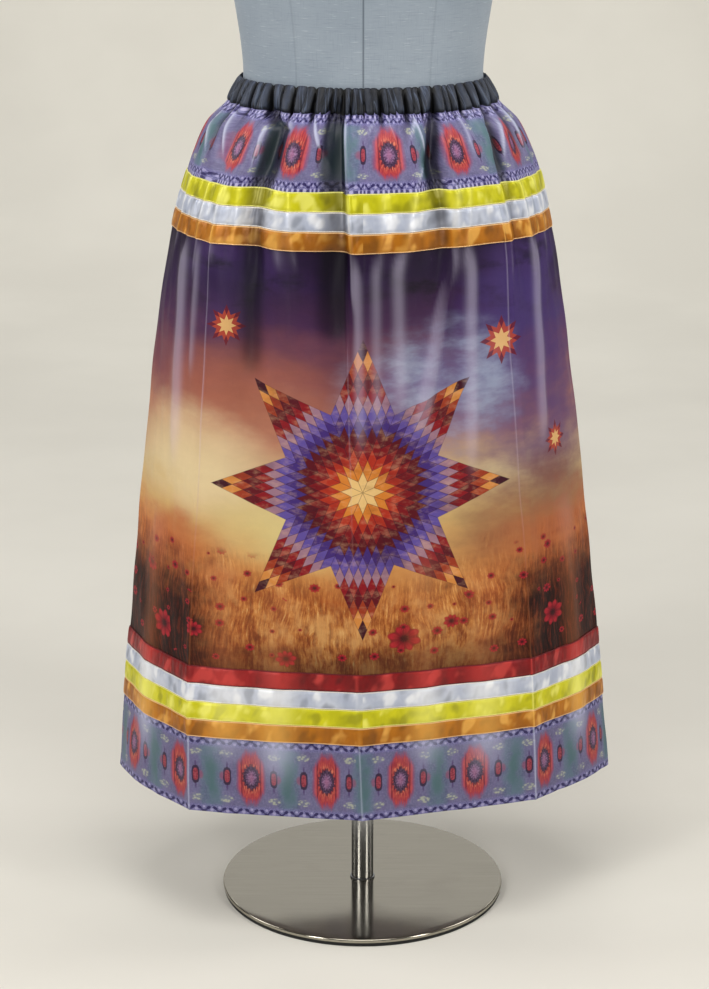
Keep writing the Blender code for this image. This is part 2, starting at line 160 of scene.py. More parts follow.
RIPPLES = make_ripples(
    # the front, from left to right
    (-1810, -1640, 108, 26, 868, 560), (-1494, -1450, 61, 16, 860, 680), (-882, -850, 95, -26, 868, 690),
    (-260, -240, 121, -29, 868, 740), (-54, -10, 43, 20, 868, 600), (93, 108, 46, 16, 860, 620),
    (262, 285, 57, 18, 868, 640), (745, 380, 59, 32, 868, 620), (885, 800, 54, 25, 868, 560),
    (1740, 1560, 88, 24, 868, 580), (-1000, -960, 162, 14, 500, 200), (-560, -620, 149, 16, 470, 180),
    (420, 450, 135, 15, 520, 190), (830, 900, 162, 14, 480, 180), (1900, 1950, 189, 18, 560, 180),
    (-1900, -1960, 189, 18, 540, 180),
    # the back, from right to left
    (3350, 3330, 68, 20, 868, 700), (4060, 4010, 61, 18, 868, 660), (4680, 4640, 108, -26, 868, 720),
    (5120, 5080, 43, 18, 868, 620), (5720, 5600, 61, 26, 868, 600), (6480, 6430, 74, 23, 868, 620),
    (3100, 3050, 189, 18, 540, 180), (4200, 4260, 162, 15, 500, 190), (4750, 4700, 149, 15, 460, 180),
    (5450, 5520, 162, 16, 520, 200), (6850, 6900, 189, 17, 500, 180),
)

# Pull lines that fan out from the grooves of the elastic, thin and sharp.
PULLS = make_ripples(
    (-2240, -1880, 46, 22, 1001, 935), (-1780, -1450, 38, 26, 1001, 938), (-1104, -1030, 27, 32, 1004, 925),
    (-1100, -1088, 22, 14, 985, 925), (-825, -785, 90, 16, 998, 920), (-560, -270, 26, 28, 1002, 935),
    (-500, -430, 22, 14, 990, 965), (-200, -140, 32, 34, 1004, 880), (165, 5, 28, 17, 1002, 978),
    (270, 340, 28, 12, 1002, 970), (590, 435, 26, 20, 1001, 968), (575, 640, 26, 26, 1000, 945),
    (638, 440, 30, 22, 958, 922), (885, 745, 26, 20, 1003, 950), (1180, 1160, 60, 14, 1003, 940),
    (1600, 1370, 30, 20, 1003, 930), (1740, 1480, 36, 24, 992, 925), (2150, 2060, 42, 20, 1003, 935),
    (2850, 2700, 42, 22, 1003, 930), (3250, 3420, 39, 26, 1003, 925), (3610, 3680, 36, 20, 1003, 945),
    (3930, 3850, 34, 18, 1003, 960), (4280, 4440, 36, 26, 1003, 925), (4830, 4780, 34, 29, 1003, 915),
    (5180, 5050, 34, 22, 1003, 955), (5500, 5640, 36, 24, 1003, 935), (6000, 5880, 36, 20, 1003, 950),
    (6380, 6520, 39, 26, 1003, 925), (6800, 6940, 39, 20, 1003, 945), (7250, 7140, 42, 22, 1003, 930),
)

# Soft gleams and dips that run down through the upper ribbons, all from the same height: rows without it.
GLEAM_TOP = 932
GLEAMS = make_ripples(*((*row[:4], GLEAM_TOP, row[4]) for row in (
    (-2037, -2160, 40, 15, 820), (-1837, -1860, 50, -9, 820), (-1567, -1568, 36, 15, 800),
    (-1358, -1225, 50, 11, 820), (-1215, -1111, 40, -9, 820), (-1116, -1048, 40, 9, 820), (-973, -906, 14, 9, 820),
    (-931, -808, 50, -16, 790), (-757, -637, 70, 13, 820), (-644, -496, 40, 9, 820), (-547, -383, 70, -6, 820),
    (-370, -308, 60, 7, 820), (-216, -194, 80, -12, 800), (-135, -65, 30, 18, 780), (-10, -8, 70, -8, 820),
    (189, 116, 50, 9, 820), (328, 205, 50, -7, 820), (484, 250, 65, 12, 820), (568, 424, 55, -10, 820),
    (687, 513, 40, 8, 820), (878, 618, 60, 15, 820), (1006, 792, 40, 10, 820), (1193, 1019, 70, -9, 820),
    (1341, 1245, 18, 12, 800), (1511, 1328, 35, -12, 820), (1651, 1654, 36, 17, 800), (1939, 1894, 35, -10, 820),
    (1985, 2100, 50, 12, 820), (2620, 2640, 65, 13, 790), (2859, 2799, 40, 9, 790), (3038, 3148, 55, 9, 800),
    (3169, 3229, 46, -7, 800), (3398, 3338, 65, 16, 800), (3529, 3469, 40, 11, 800), (3696, 3636, 65, 11, 800),
    (3952, 3972, 46, 9, 830), (4103, 4123, 32, -9, 790), (4311, 4331, 32, 13, 820), (4503, 4443, 55, -9, 790),
    (4667, 4547, 46, -9, 830), (4844, 4724, 32, 16, 800), (5055, 5115, 32, 11, 820), (5252, 5132, 46, 16, 820),
    (5494, 5514, 32, -7, 820), (5743, 5763, 65, 9, 820), (5913, 5973, 40, 13, 800), (6137, 6197, 65, -11, 790),
    (6297, 6357, 46, 16, 800), (6435, 6455, 32, 16, 800), (6582, 6642, 40, -11, 790), (6734, 6754, 32, 16, 800),
    (6922, 6982, 40, 16, 820), (7115, 6995, 55, -7, 830), (7352, 7372, 40, 16, 800),
)))

# A pressed crease: a thin sharp ridge. Its places evenly down from its top, half its width and its rise.
PRESSED = (
    Ripple((-0.13, -0.125, -0.122, -0.1238, -0.125), None, 0.0011, 0.0012, 0.945, 0.16),
    Ripple((-0.015, -0.011, -0.0072, -0.004, 0.0), None, 0.0011, 0.0008, 0.88, 0.16),
    Ripple((0.124, 0.1185, 0.118, 0.1222, 0.125), None, 0.0011, 0.0012, 0.945, 0.16),
    Ripple(0.375, 0.375, 0.0011, 0.0009, 0.9, 0.16),
    Ripple(0.5, 0.5, 0.0011, 0.0008, 0.87, 0.16),
    Ripple(0.625, 0.625, 0.0011, 0.0009, 0.9, 0.16),
)

# Slow unevenness of the hanging cloth: how many waves round the ring and in a metre of height, phase, amount.
Wave = namedtuple("Wave", "round down phase amount")
UNEVEN = (
    Wave(17, 5.0, 0.3, 0.0003),
    Wave(29, -7.0, 1.9, 0.00024),
    Wave(41, 9.0, 4.1, 0.00016),
    Wave(11, 11.0, 2.6, 0.0003),
    Wave(53, 3.0, 5.2, 0.00012),
)


def smooth_step(value):
    value = np.clip(value, 0.0, 1.0)
    return value * value * (3 - 2 * value)


def mix(a, b, share):
    return a + (b - a) * share


def round_offset(at, other):
    return np.mod(at - other + 0.5, 1.0) - 0.5


# ---------------------------------------------------------------- the surface of the skirt


def ring_corners():
    """The eight corners of every row: rows x corners x 2."""
    left, right, front, back, left_x, left_y, right_x, right_y, back_x, back_y = SKIRT_ROWS.T[1:11]
    zero = 0 * left
    corners = [(zero, -front), (right_x, -right_y), (right, zero), (back_x, back_y)]
    corners += [(zero, back), (-back_x, back_y), (-left, zero), (-left_x, -left_y)]
    return np.array(corners).transpose(2, 0, 1) / 1e4


ROW_HEIGHTS = SKIRT_ROWS[:, 0] / 1e4
ROW_SHARP, ROW_FOLD = SKIRT_ROWS[:, 11] / 100, SKIRT_ROWS[:, 12] / 100
ROW_CORNERS = ring_corners()


def hermite(t, start, end, leaving, arriving):
    """A smooth curve from start to end with these tangents, at t from 0 to 1."""
    t2, t3 = t * t, t * t * t
    return (
        (2 * t3 - 3 * t2 + 1) * start
        + (t3 - 2 * t2 + t) * leaving
        + (3 * t2 - 2 * t3) * end
        + (t3 - t2) * arriving
    )


def table_rings(at):
    """The bare ring of every table row at these places: rows x places x 2."""
    place = np.mod(at, 1.0) * 8
    first = np.floor(place).astype(int) % 8
    t = (place - np.floor(place))[None, :, None]
    before, start, end, after = (ROW_CORNERS[:, (first + step) % 8] for step in (-1, 0, 1, 2))
    sharp = ROW_SHARP[:, None, None]
    leaving = mix(ROUND_TANGENT * (end - before) / 2, end - start, sharp)
    arriving = mix(ROUND_TANGENT * (after - start) / 2, end - start, sharp)
    return hermite(t, start, end, leaving, arriving)


def along_rows(heights, values, knots):
    """Values of a table's rows on a smooth curve through other heights. knots run down or up, in order."""
    heights = np.asarray(heights, dtype=float)
    if knots[0] > knots[-1]:
        knots, values = knots[::-1], values[::-1]
    gaps = np.diff(knots)
    shape = (-1,) + (1,) * (values.ndim - 1)
    slopes = np.diff(values, axis=0) / gaps.reshape(shape)
    tangents = np.concatenate([slopes[:1], (slopes[1:] + slopes[:-1]) / 2, slopes[-1:]])
    k = np.clip(np.searchsorted(knots, heights, side="right") - 1, 0, len(gaps) - 1)
    wide = gaps[k].reshape(shape)
    t = ((heights - knots[k]) / gaps[k]).reshape(shape)
    return hermite(t, values[k], values[k + 1], wide * tangents[k], wide * tangents[k + 1])


def plan_rings(at, heights):
    return along_rows(heights, table_rings(at), ROW_HEIGHTS)


def plan_normals(at, heights, step=0.002):
    along = plan_rings(at + step, heights) - plan_rings(at - step, heights)
    length = np.hypot(along[..., 0], along[..., 1])
    return np.stack([along[..., 1] / length, -along[..., 0] / length], axis=-1)


def off_the_form(plan, heights, gap):
    """Push the places of a plan that come within gap of the dress form back out to it."""
    sizes = along_rows(heights, FORM_SIZES, FORM_HEIGHTS)[:, None, :]
    reach = np.hypot(plan[..., 0], plan[..., 1])
    across, ahead = plan[..., 0] / reach, -plan[..., 1] / reach
    deep = np.where(ahead > 0, sizes[..., 1], sizes[..., 2])
    least = 1 / np.hypot(across / sizes[..., 0], ahead / deep) + gap
    soft = 0.0008
    wanted = (reach + least + np.sqrt((reach - least) ** 2 + soft**2)) / 2
    wanted = np.where(reach > least + 0.01, reach, wanted)
    return plan * (wanted / reach)[..., None]


# The ripples' relief counts this much more in the mesh than in the painted shade and highlight.
RIPPLE_SHARE = 1.5

# How a fold's two lips stand up beside its groove, as a share of its depth.
LIP_SHARE = 0.3
LIP_PLACE = 1.9
LIP_WIDTH = 0.85


def fold_relief(at, heights):
    """How far the folds push the cloth in (below 0) or lift their lips (above 0)."""
    high = np.asarray(heights)[:, None]
    share = np.clip(along_rows(heights, ROW_FOLD, ROW_HEIGHTS), 0, 2)[:, None]
    spread = 1 + FOLD_SPREAD * (WAIST_TOP - high)
    total = np.zeros((len(heights), len(at)))
    for fold in FOLDS:
        centre = np.interp(-high, [-level for level in FOLD_LEVELS], fold.path)
        offset = round_offset(at[None, :], centre)
        reach = spread * np.where(offset < 0, fold.before, fold.after)
        fade = smooth_step((high - fold.dies_at) / (WAIST_TOP - fold.dies_at))
        across = np.abs(offset / reach)
        shape = np.exp(-(across**2)) - LIP_SHARE * np.exp(-(((across - LIP_PLACE) / LIP_WIDTH) ** 2))
        total -= fold.depth * fade * share * shape
    return total


def ripple_relief(at, heights, table, power=2.0, fade=4.0, narrow=1.0):
    """The soft ridges and hollows, the pull lines, or the pressed creases, which run on to the hem."""
    high = np.asarray(heights)[:, None]
    total = np.zeros((len(heights), len(at)))
    for ripple in table:
        down = np.clip((ripple.top - high) / (ripple.top - ripple.bottom), 0, 1)
        if ripple.end is None:
            centre = np.interp(down, np.linspace(0, 1, len(ripple.start)), ripple.start)
        else:
            centre = mix(ripple.start, ripple.end, down)
        ends = smooth_step(down * 7) * (smooth_step((1 - down) * fade) if fade else 1.0)
        offset = np.abs(round_offset(at[None, :], centre)) / (ripple.width * narrow)
        total += ripple.rise * ends * np.exp(-(offset**power))
    return total


# Where the hanging cloth swells out beside the side creases near the hem: middle, half width, and how far.
SWELLS = ((-0.205, 0.075, 0.0088), (0.21, 0.07, 0.0046), (0.315, 0.06, 0.004), (0.688, 0.065, 0.005))


def hem_bulge(at, heights):
    """The swell of the sides low down."""
    low = smooth_step((0.52 - np.asarray(heights)[:, None]) / 0.4) ** 1.3
    return low * sum(
        rise * np.cos(np.clip(np.abs(round_offset(at[None, :], middle)) / half, 0, 1) * np.pi / 2) ** 1.5
        for middle, half, rise in SWELLS
    )


def uneven_relief(at, heights):
    high = np.asarray(heights)[:, None]
    calm = smooth_step((CASING_BOTTOM - high) / 0.04)
    return calm * sum(
        wave.amount * np.sin(2 * np.pi * (wave.round * at[None, :] + wave.down * high) + wave.phase)
        for wave in UNEVEN
    )


# The elastic's gathers: the place round the ring (in 1/10000) and the depth (in 1/10 mm) of every groove.
GROOVES = np.array([
    (-2320, 44), (-2150, 18), (-1990, 62), (-1800, 22), (-1580, 40), (-1420, 20), (-1229, 70), (-1050, 14),
    (-876, 60), (-725, 12), (-598, 62), (-480, 12), (-384, 40), (-310, 20), (-240, 66), (-142, 36), (-60, 16),
    (9, 24), (110, 12), (204, 66), (300, 22), (375, 14), (510, 62), (610, 20), (700, 38), (887, 66), (1040, 18),
    (1130, 26), (1274, 56), (1470, 16), (1694, 60), (1870, 18), (2060, 40), (2210, 16), (2360, 44), (2560, 22),
    (2780, 56), (2960, 18), (3180, 48), (3330, 16), (3520, 66), (3690, 20), (3860, 40), (4050, 16), (4210, 60),
    (4340, 20), (4490, 38), (4640, 14), (4840, 66), (5000, 24), (5090, 14), (5230, 48), (5400, 16), (5560, 60),
    (5730, 18), (5930, 42), (6120, 14), (6310, 64), (6480, 20), (6720, 52), (6920, 18), (7160, 56), (7380, 20),
]) / 1e4
GROOVES[:, 0] = np.mod(GROOVES[:, 0], 1.0)
GROOVES = GROOVES[np.argsort(GROOVES[:, 0])]
GROOVES = np.concatenate([GROOVES[-1:] - (1, 0), GROOVES, GROOVES[:1] + (1, 0)])
GROOVE_PLACES, GROOVE_DEPTHS = GROOVES.T.copy()
PUFF_HEIGHT = 0.0046
PUFF_WIDTH = 0.017
GROOVE_WIDTH = 0.0016


def gathers(at, spread=1.0):
    """The gathers at these places: how far the puffs between the grooves rise, and how deep the grooves cut."""
    place = np.mod(at, 1.0)
    k = np.clip(np.searchsorted(GROOVE_PLACES, place, side="right") - 1, 0, len(GROOVE_PLACES) - 2)
    wide = GROOVE_PLACES[k + 1] - GROOVE_PLACES[k]
    u = (place - GROOVE_PLACES[k]) / wide
    puff = PUFF_HEIGHT * np.minimum(1.0, wide / PUFF_WIDTH) * np.sin(np.pi * u) ** 0.42
    cuts = 0
    for depth, off in ((GROOVE_DEPTHS[k], u), (GROOVE_DEPTHS[k + 1], 1 - u)):
        half = GROOVE_WIDTH * spread * (0.55 + depth / 0.008)
        cuts = cuts + depth * np.exp(-((off * wide / half) ** 1.5))
    return puff, cuts


# How far below the casing the puffs and the grooves die out in the cloth, and how far the cloth's top is drawn in.
PUFF_REACH = 0.04
CUT_REACH = 0.017
DRAWN_IN = 0.0048
# How near the cloth's outer face comes to the form at the bottom of a groove, and the casing's two faces.
FORM_GAP = 0.0028
CASING_GAPS = (0.0038, 0.0012)


def band_gathers(at, heights):
    """The gathers run down from the casing and die out in the cloth."""
    high = np.asarray(heights)[:, None]
    down = CASING_BOTTOM - high
    soft = np.clip(down / PUFF_REACH, 0, 1)
    drift = 0.0016 * np.sin(2 * np.pi * 9 * at[None, :] + 0.8) * soft
    puff, cuts = gathers(at[None, :] + drift, 1 + 1.1 * soft)
    relief = 0.85 * puff * (1 - smooth_step(soft)) - 1.15 * cuts * (1 - smooth_step(down / CUT_REACH))
    return relief - DRAWN_IN * (1 - smooth_step(down / 0.024))


# The relief, in metres, at which a fold's hollow gets its full painted shade and a gleam's crest its full painted
# highlight.
HOLLOW_DEPTH = 0.008
CREST_RISE = 0.0024


def fold_shade(at, heights):
    """Painted fold shade and highlight for the colour: -1 in the deepest hollows of the folds, 0 on the open cloth, 1
    on the crests of gleams and pulls.
    """
    at, heights = np.asarray(at, dtype=float), np.asarray(heights, dtype=float)
    deep = -fold_relief(at, heights)
    crest = ripple_relief(at, heights, RIPPLES) + ripple_relief(at, heights, GLEAMS, power=1.2, narrow=0.75)
    crest += 1.6 * ripple_relief(at, heights, PRESSED, power=1.3, fade=0, narrow=0.6)
    if heights.max() > PULLS[0].bottom:
        crest += 1.25 * ripple_relief(at, heights, PULLS, power=1.0, fade=1.6, narrow=0.5)
    # the elastic's grooves add painted shade, and its puffs a painted highlight, where they run down into the cloth
    if heights.max() > CASING_BOTTOM - PUFF_REACH:
        down = CASING_BOTTOM - heights[:, None]
        puff, cuts = gathers(at[None, :])
        deep += 2.2 * cuts * (1 - smooth_step(down / CUT_REACH))
        crest += 0.35 * (puff - 0.0026) * (1 - smooth_step(down / PUFF_REACH))
    dark = smooth_step(np.maximum(deep, 0) / HOLLOW_DEPTH) + 0.6 * smooth_step(-crest / CREST_RISE)
    return smooth_step(crest / CREST_RISE) * (1 - np.minimum(dark, 1)) - np.minimum(dark, 1)


def cloth(at, heights, out=0.0):
    """Points of the cloth, moved out from its outer face: heights x places x 3."""
    at, heights = np.asarray(at, dtype=float), np.asarray(heights, dtype=float)
    plan, normal = plan_rings(at, heights), plan_normals(at, heights)
    relief = fold_relief(at, heights) + RIPPLE_SHARE * ripple_relief(at, heights, RIPPLES)
    relief += ripple_relief(at, heights, GLEAMS, power=1.6) + hem_bulge(at, heights)
    relief += uneven_relief(at, heights) + ripple_relief(at, heights, PRESSED, power=1.3, fade=0)
    if heights.max() > PULLS[0].bottom:
        relief += ripple_relief(at, heights, PULLS, power=1.5, fade=1.6)
    if heights.max() > CASING_BOTTOM - PUFF_REACH:
        relief += band_gathers(at, heights)
    plan = plan + normal * (relief + out)[..., None]
    if heights.max() > CASING_BOTTOM - PUFF_REACH:
        plan = off_the_form(plan, heights, FORM_GAP + np.broadcast_to(out, relief.shape))
    return np.dstack([plan, np.broadcast_to(heights[:, None], plan.shape[:2])])


def arc_lengths(at, heights):
    """How far each place lies round the bare ring from the front centre, in metres, at each height."""
    fine = np.linspace(-0.5, 1.0, 3073)
    rings = plan_rings(fine, heights)
    steps = np.hypot(*np.moveaxis(np.diff(rings, axis=1), -1, 0))
    run = np.concatenate([np.zeros((len(heights), 1)), np.cumsum(steps, axis=1)], axis=1)
    run -= np.array([np.interp(0.0, fine, line) for line in run])[:, None]
    return np.array([np.interp(at, fine, line) for line in run])


# ---------------------------------------------------------------- meshes


def columns_between(start, end, count, dense=()):
    """Places from start to end, evenly spaced, with extra ones where the cloth turns sharply."""
    even = np.linspace(start, end, max(2, round((end - start) * count) + 1))
    extra = [spot for low, high, step in dense for spot in np.arange(low, high, step)]
    inside = [spot for spot in extra if start + 1e-4 < spot < end - 1e-4]
    places = np.sort(np.concatenate([even, inside]))
    keep = np.concatenate([[True], np.diff(places) > 0.00022])
    places = places[keep]
    places[-1] = end
    return places


DENSE = (
    (-0.131, -0.1212, 0.0005),
    (-0.016, 0.002, 0.0006),
    (0.117, 0.1265, 0.0005),
    (0.3722, 0.378, 0.0005),
    (0.4974, 0.503, 0.0005),
    (0.6222, 0.628, 0.0005),
    (0.248, 0.252, 0.0005),
    (0.748, 0.752, 0.0005),
    (-0.252, -0.248, 0.0005),
)


def levels_between(top, bottom, step):
    return np.linspace(top, bottom, max(2, round((top - bottom) / step) + 1))


def add_object(name, points, faces, corners, slots, materials, smooth_angle=None, shade=None):
    """A mesh object from its points, faces, the UV of every face corner, each face's material and each point's
    painted fold shade and highlight (on the form, how dark its seams are)."""
    mesh = bpy.data.meshes.new(name)
    mesh.from_pydata(points, [], faces)
    layer = mesh.uv_layers.new(name="cloth")
    layer.data.foreach_set("uv", np.asarray(corners, dtype=np.float32).ravel())
    if shade is not None:
        values = mesh.attributes.new("fold_shade", "FLOAT", "POINT")
        values.data.foreach_set("value", np.asarray(shade, dtype=np.float32).ravel())
    for material in materials:
        mesh.materials.append(material)
    mesh.polygons.foreach_set("material_index", np.asarray(slots, dtype=np.int32))
    mesh.shade_smooth()
    if smooth_angle:
        mesh.set_sharp_from_angle(angle=smooth_angle)
    item = bpy.data.objects.new(name, mesh)
    bpy.context.scene.collection.objects.link(item)
    return item


def loft(name, rows, uv, closed, materials, inner_from=None, around=True, smooth_angle=0.9, shade=None):
    """A skin over rows of points. Where around is true the last row joins the first, so the skin has a thickness.

    uv has one more column than rows where the rows are closed. Rows from inner_from on take the second material.
    """
    deep, wide = rows.shape[:2]
    strips = deep if around else deep - 1
    across = wide if closed else wide - 1
    r, c = (grid.ravel() for grid in np.meshgrid(np.arange(strips), np.arange(across), indexing="ij"))
    below, after = (r + 1) % deep, (c + 1) % wide
    faces = np.stack([r * wide + c, below * wide + c, below * wide + after, r * wide + after], axis=1)
    corners = np.stack([uv[r, c], uv[below, c], uv[below, c + 1], uv[r, c + 1]], axis=1)
    slots = np.zeros(len(faces), dtype=np.int32)
    if inner_from is not None:
        slots[(r >= inner_from - 1)] = 1
    if around and not closed:
        half = deep // 2
        k = np.arange(half - 1)
        for column, order in ((0, 1), (wide - 1, -1)):
            rim = np.stack([k, deep - 1 - k, deep - 2 - k, k + 1], axis=1)[:, ::order]
            faces = np.concatenate([faces, rim * wide + column])
            corners = np.concatenate([corners, uv[rim, column]])
            slots = np.concatenate([slots, np.zeros(len(rim), dtype=np.int32)])
    return add_object(
        name, rows.reshape(-1, 3).tolist(), faces.tolist(), corners, slots, materials, smooth_angle, shade
    )


def with_last_column(values, period):
    """UVs of a closed ring, with the first column once more at its end, a whole turn on."""
    last = values[:, :1].copy()
    last[..., 0] += period[:, None] if np.ndim(period) else period
    return np.concatenate([values, last], axis=1)


# ---------------------------------------------------------------- materials


def tone(red, green, blue):
    """A colour in the usual 0 to 255 scale, as the linear values that shaders use."""
    return tuple(
        (c / 255 / 12.92) if c <= 10.3 else ((c / 255 + 0.055) / 1.055) ** 2.4 for c in (red, green, blue)
    )


class Spot:
    """A number or colour at every spot of a material: the output of one node."""

    def __init__(self, paint, socket):
        self.paint, self.socket = paint, socket

    def math(self, operation, *others):
        return self.paint.spot("ShaderNodeMath", dict(enumerate((self, *others))), operation=operation)

    __add__ = __radd__ = partialmethod(math, "ADD")
    __mul__ = __rmul__ = partialmethod(math, "MULTIPLY")
    __sub__ = partialmethod(math, "SUBTRACT")
    __truediv__ = partialmethod(math, "DIVIDE")
    __pow__ = partialmethod(math, "POWER")
    __abs__ = partialmethod(math, "ABSOLUTE")
    low = partialmethod(math, "MINIMUM")
    high = partialmethod(math, "MAXIMUM")
    over = partialmethod(math, "GREATER_THAN")
    floor = partialmethod(math, "FLOOR")
    fract = partialmethod(math, "FRACT")
    sine = partialmethod(math, "SINE")

    def __rsub__(self, other):
        return (self * -1.0) + other

    def wrap(self, period):
        """Distance from the nearest whole number of periods, from -period / 2 to period / 2."""
        return ((self / period + 0.5).fract() - 0.5) * period

    def linear(self, start, end, low=0.0, high=1.0, **settings):
        sockets = {"Value": self, "From Min": start, "From Max": end, "To Min": low, "To Max": high}
        return self.paint.spot("ShaderNodeMapRange", sockets, **settings)

    def smooth(self, start, end):
        """0 at start, 1 at end, smooth between. start may be the larger."""
        return self.linear(start, end, interpolation_type="SMOOTHSTEP")

    def lay(self, share, over, mode="MIX"):
        """This colour with another laid on it as far as share goes."""
        return self.paint.blend(share, self, over, mode)


class Paint:
    """One material and the nodes that paint it. A colour is a Spot, or a tuple in the 0 to 255 scale."""

    def __init__(self, name, roughness=0.5, metallic=0.0, **sockets):
        self.material = bpy.data.materials.new(name)
        self.material.use_nodes = True
        self.tree = self.material.node_tree
        self.shader = self.tree.nodes["Principled BSDF"]
        self.shader.inputs["Roughness"].default_value = roughness
        self.shader.inputs["Metallic"].default_value = metallic
        for socket, value in sockets.items():
            self.shader.inputs[socket.replace("_", " ").title().replace("Ior", "IOR")].default_value = value

    def node(self, kind, sockets, **settings):
        node = self.tree.nodes.new(kind)
        for setting, value in settings.items():
            setattr(node, setting, value)
        for socket, value in sockets.items():
            self.feed(node.inputs[socket], value)
        return node

    def spot(self, kind, sockets, **settings):
        return Spot(self, self.node(kind, sockets, **settings).outputs[0])

    def feed(self, socket, value):
        if isinstance(value, Spot):
            self.tree.links.new(value.socket, socket)
        else:
            socket.default_value = (*tone(*value), 1.0) if isinstance(value, tuple) else value

    def uv(self):
        return self.split(self.spot("ShaderNodeUVMap", {}, uv_map="cloth"))[:2]

    def here(self):
        """The spot's own place on the object."""
        return self.split(Spot(self, self.node("ShaderNodeTexCoord", {}).outputs["Object"]))

    def split(self, vector):
        return [Spot(self, output) for output in self.node("ShaderNodeSeparateXYZ", {0: vector}).outputs]

    def join(self, x, y, z=0.0):
        return self.spot("ShaderNodeCombineXYZ", {0: x, 1: y, 2: z})

    def shade(self):
        """The mesh's painted fold shade and highlight, and on the form how dark its seams are."""
        return Spot(self, self.node("ShaderNodeAttribute", {}, attribute_name="fold_shade").outputs["Fac"])

    def painted_shade_and_highlight(self, colour, dark, deep, light, pale):
        """The colour with painted shade in the hollows of the folds (deep multiplied in, as far as dark goes) and a
        painted highlight of pale on their crests (as far as light goes).
        """
        shade = self.shade()
        return colour.lay((shade * -1.0).high(0.0) * dark, deep, "MULTIPLY").lay(shade.high(0.0) * light, pale)

    def noise(self, x, y, z=0.0, detail=2.0, roughness=0.5):
        """Soft noise about 0.5 whose grains are about one unit wide."""
        sockets = {"Vector": self.join(x, y, z), "Scale": 1.0, "Detail": detail, "Roughness": roughness}
        return self.spot("ShaderNodeTexNoise", sockets)

    def cells(self, x, y, randomness=1.0):
        """The outputs of a pattern of cells about one unit wide."""
        sockets = {"Vector": self.join(x, y), "Scale": 1.0, "Randomness": randomness}
        return self.node("ShaderNodeTexVoronoi", sockets).outputs

    def ramp(self, share, stops, interpolation="LINEAR"):
        node = self.node("ShaderNodeValToRGB", {0: share})
        node.color_ramp.interpolation = interpolation
        points = node.color_ramp.elements
        while len(points) < len(stops):
            points.new(0.5)
        for point, (place, _) in zip(points, stops):
            point.position = place
        for point, (_, colour) in zip(points, stops):
            point.color = (*tone(*colour), 1.0)
        return Spot(self, node.outputs[0])

    def blend(self, share, under, over, mode="MIX"):
        """over laid on under as far as share goes."""
        node = self.node("ShaderNodeMix", {}, data_type="RGBA", blend_type=mode, clamp_factor=True)
        for index, value in ((0, share), (6, under), (7, over)):
            self.feed(node.inputs[index], value)
        return Spot(self, node.outputs[2])

    def finish(self, colour, height=None, depth=0.0, roughness=None):
        """Sets the colour, the bump (height from 0 to 1 stands for depth in metres) and the roughness."""
        self.feed(self.shader.inputs["Base Color"], colour)
        if height is not None:
            bump = self.spot("ShaderNodeBump", {"Strength": 1.0, "Distance": depth, "Height": height})
            self.feed(self.shader.inputs["Normal"], bump)
        if roughness is not None:
            self.feed(self.shader.inputs["Roughness"], roughness)
        return self.material


def oval(x, half_x, y, half_y):
    """0 in the middle of an oval and 1 on its edge."""
    return (x / half_x) ** 2.0 + (y / half_y) ** 2.0


def satin_bump(paint, x, y, across, down, depth):
    """The satin's relief: soft puckers with about this many to a metre across and down, and the fine weave."""
    puckers = paint.noise(x * across, y * down, 12, detail=2, roughness=0.45)
    threads = paint.noise(x * 1900, y * 160, detail=1)
    slubs = paint.noise(x * 140, y * 900, 7, detail=1)
    weave = threads * 0.6 + slubs * 0.4
    return puckers + weave * (0.00008 / depth), weave


# How deep the satin's soft puckers are, in metres.
SATIN_PUCKER = 0.0016
RIBBON_PUCKER = 0.003

# The charted border print. Sizes in metres across (x) and down (y) from the middle of a medallion.
MOTIF_PITCH = 0.089
MEDALLION_HALF = 0.0143
MEDALLION_PEAK = (0.0056, 0.032, 1.75)
OVAL_HALF = (0.0092, 0.0152)
LOZENGE_PLACE = 0.0268
LOZENGE_HALF = (0.0043, 0.0112)
SPECK_PLACE = 0.029
CARET_PLACE = 0.0438


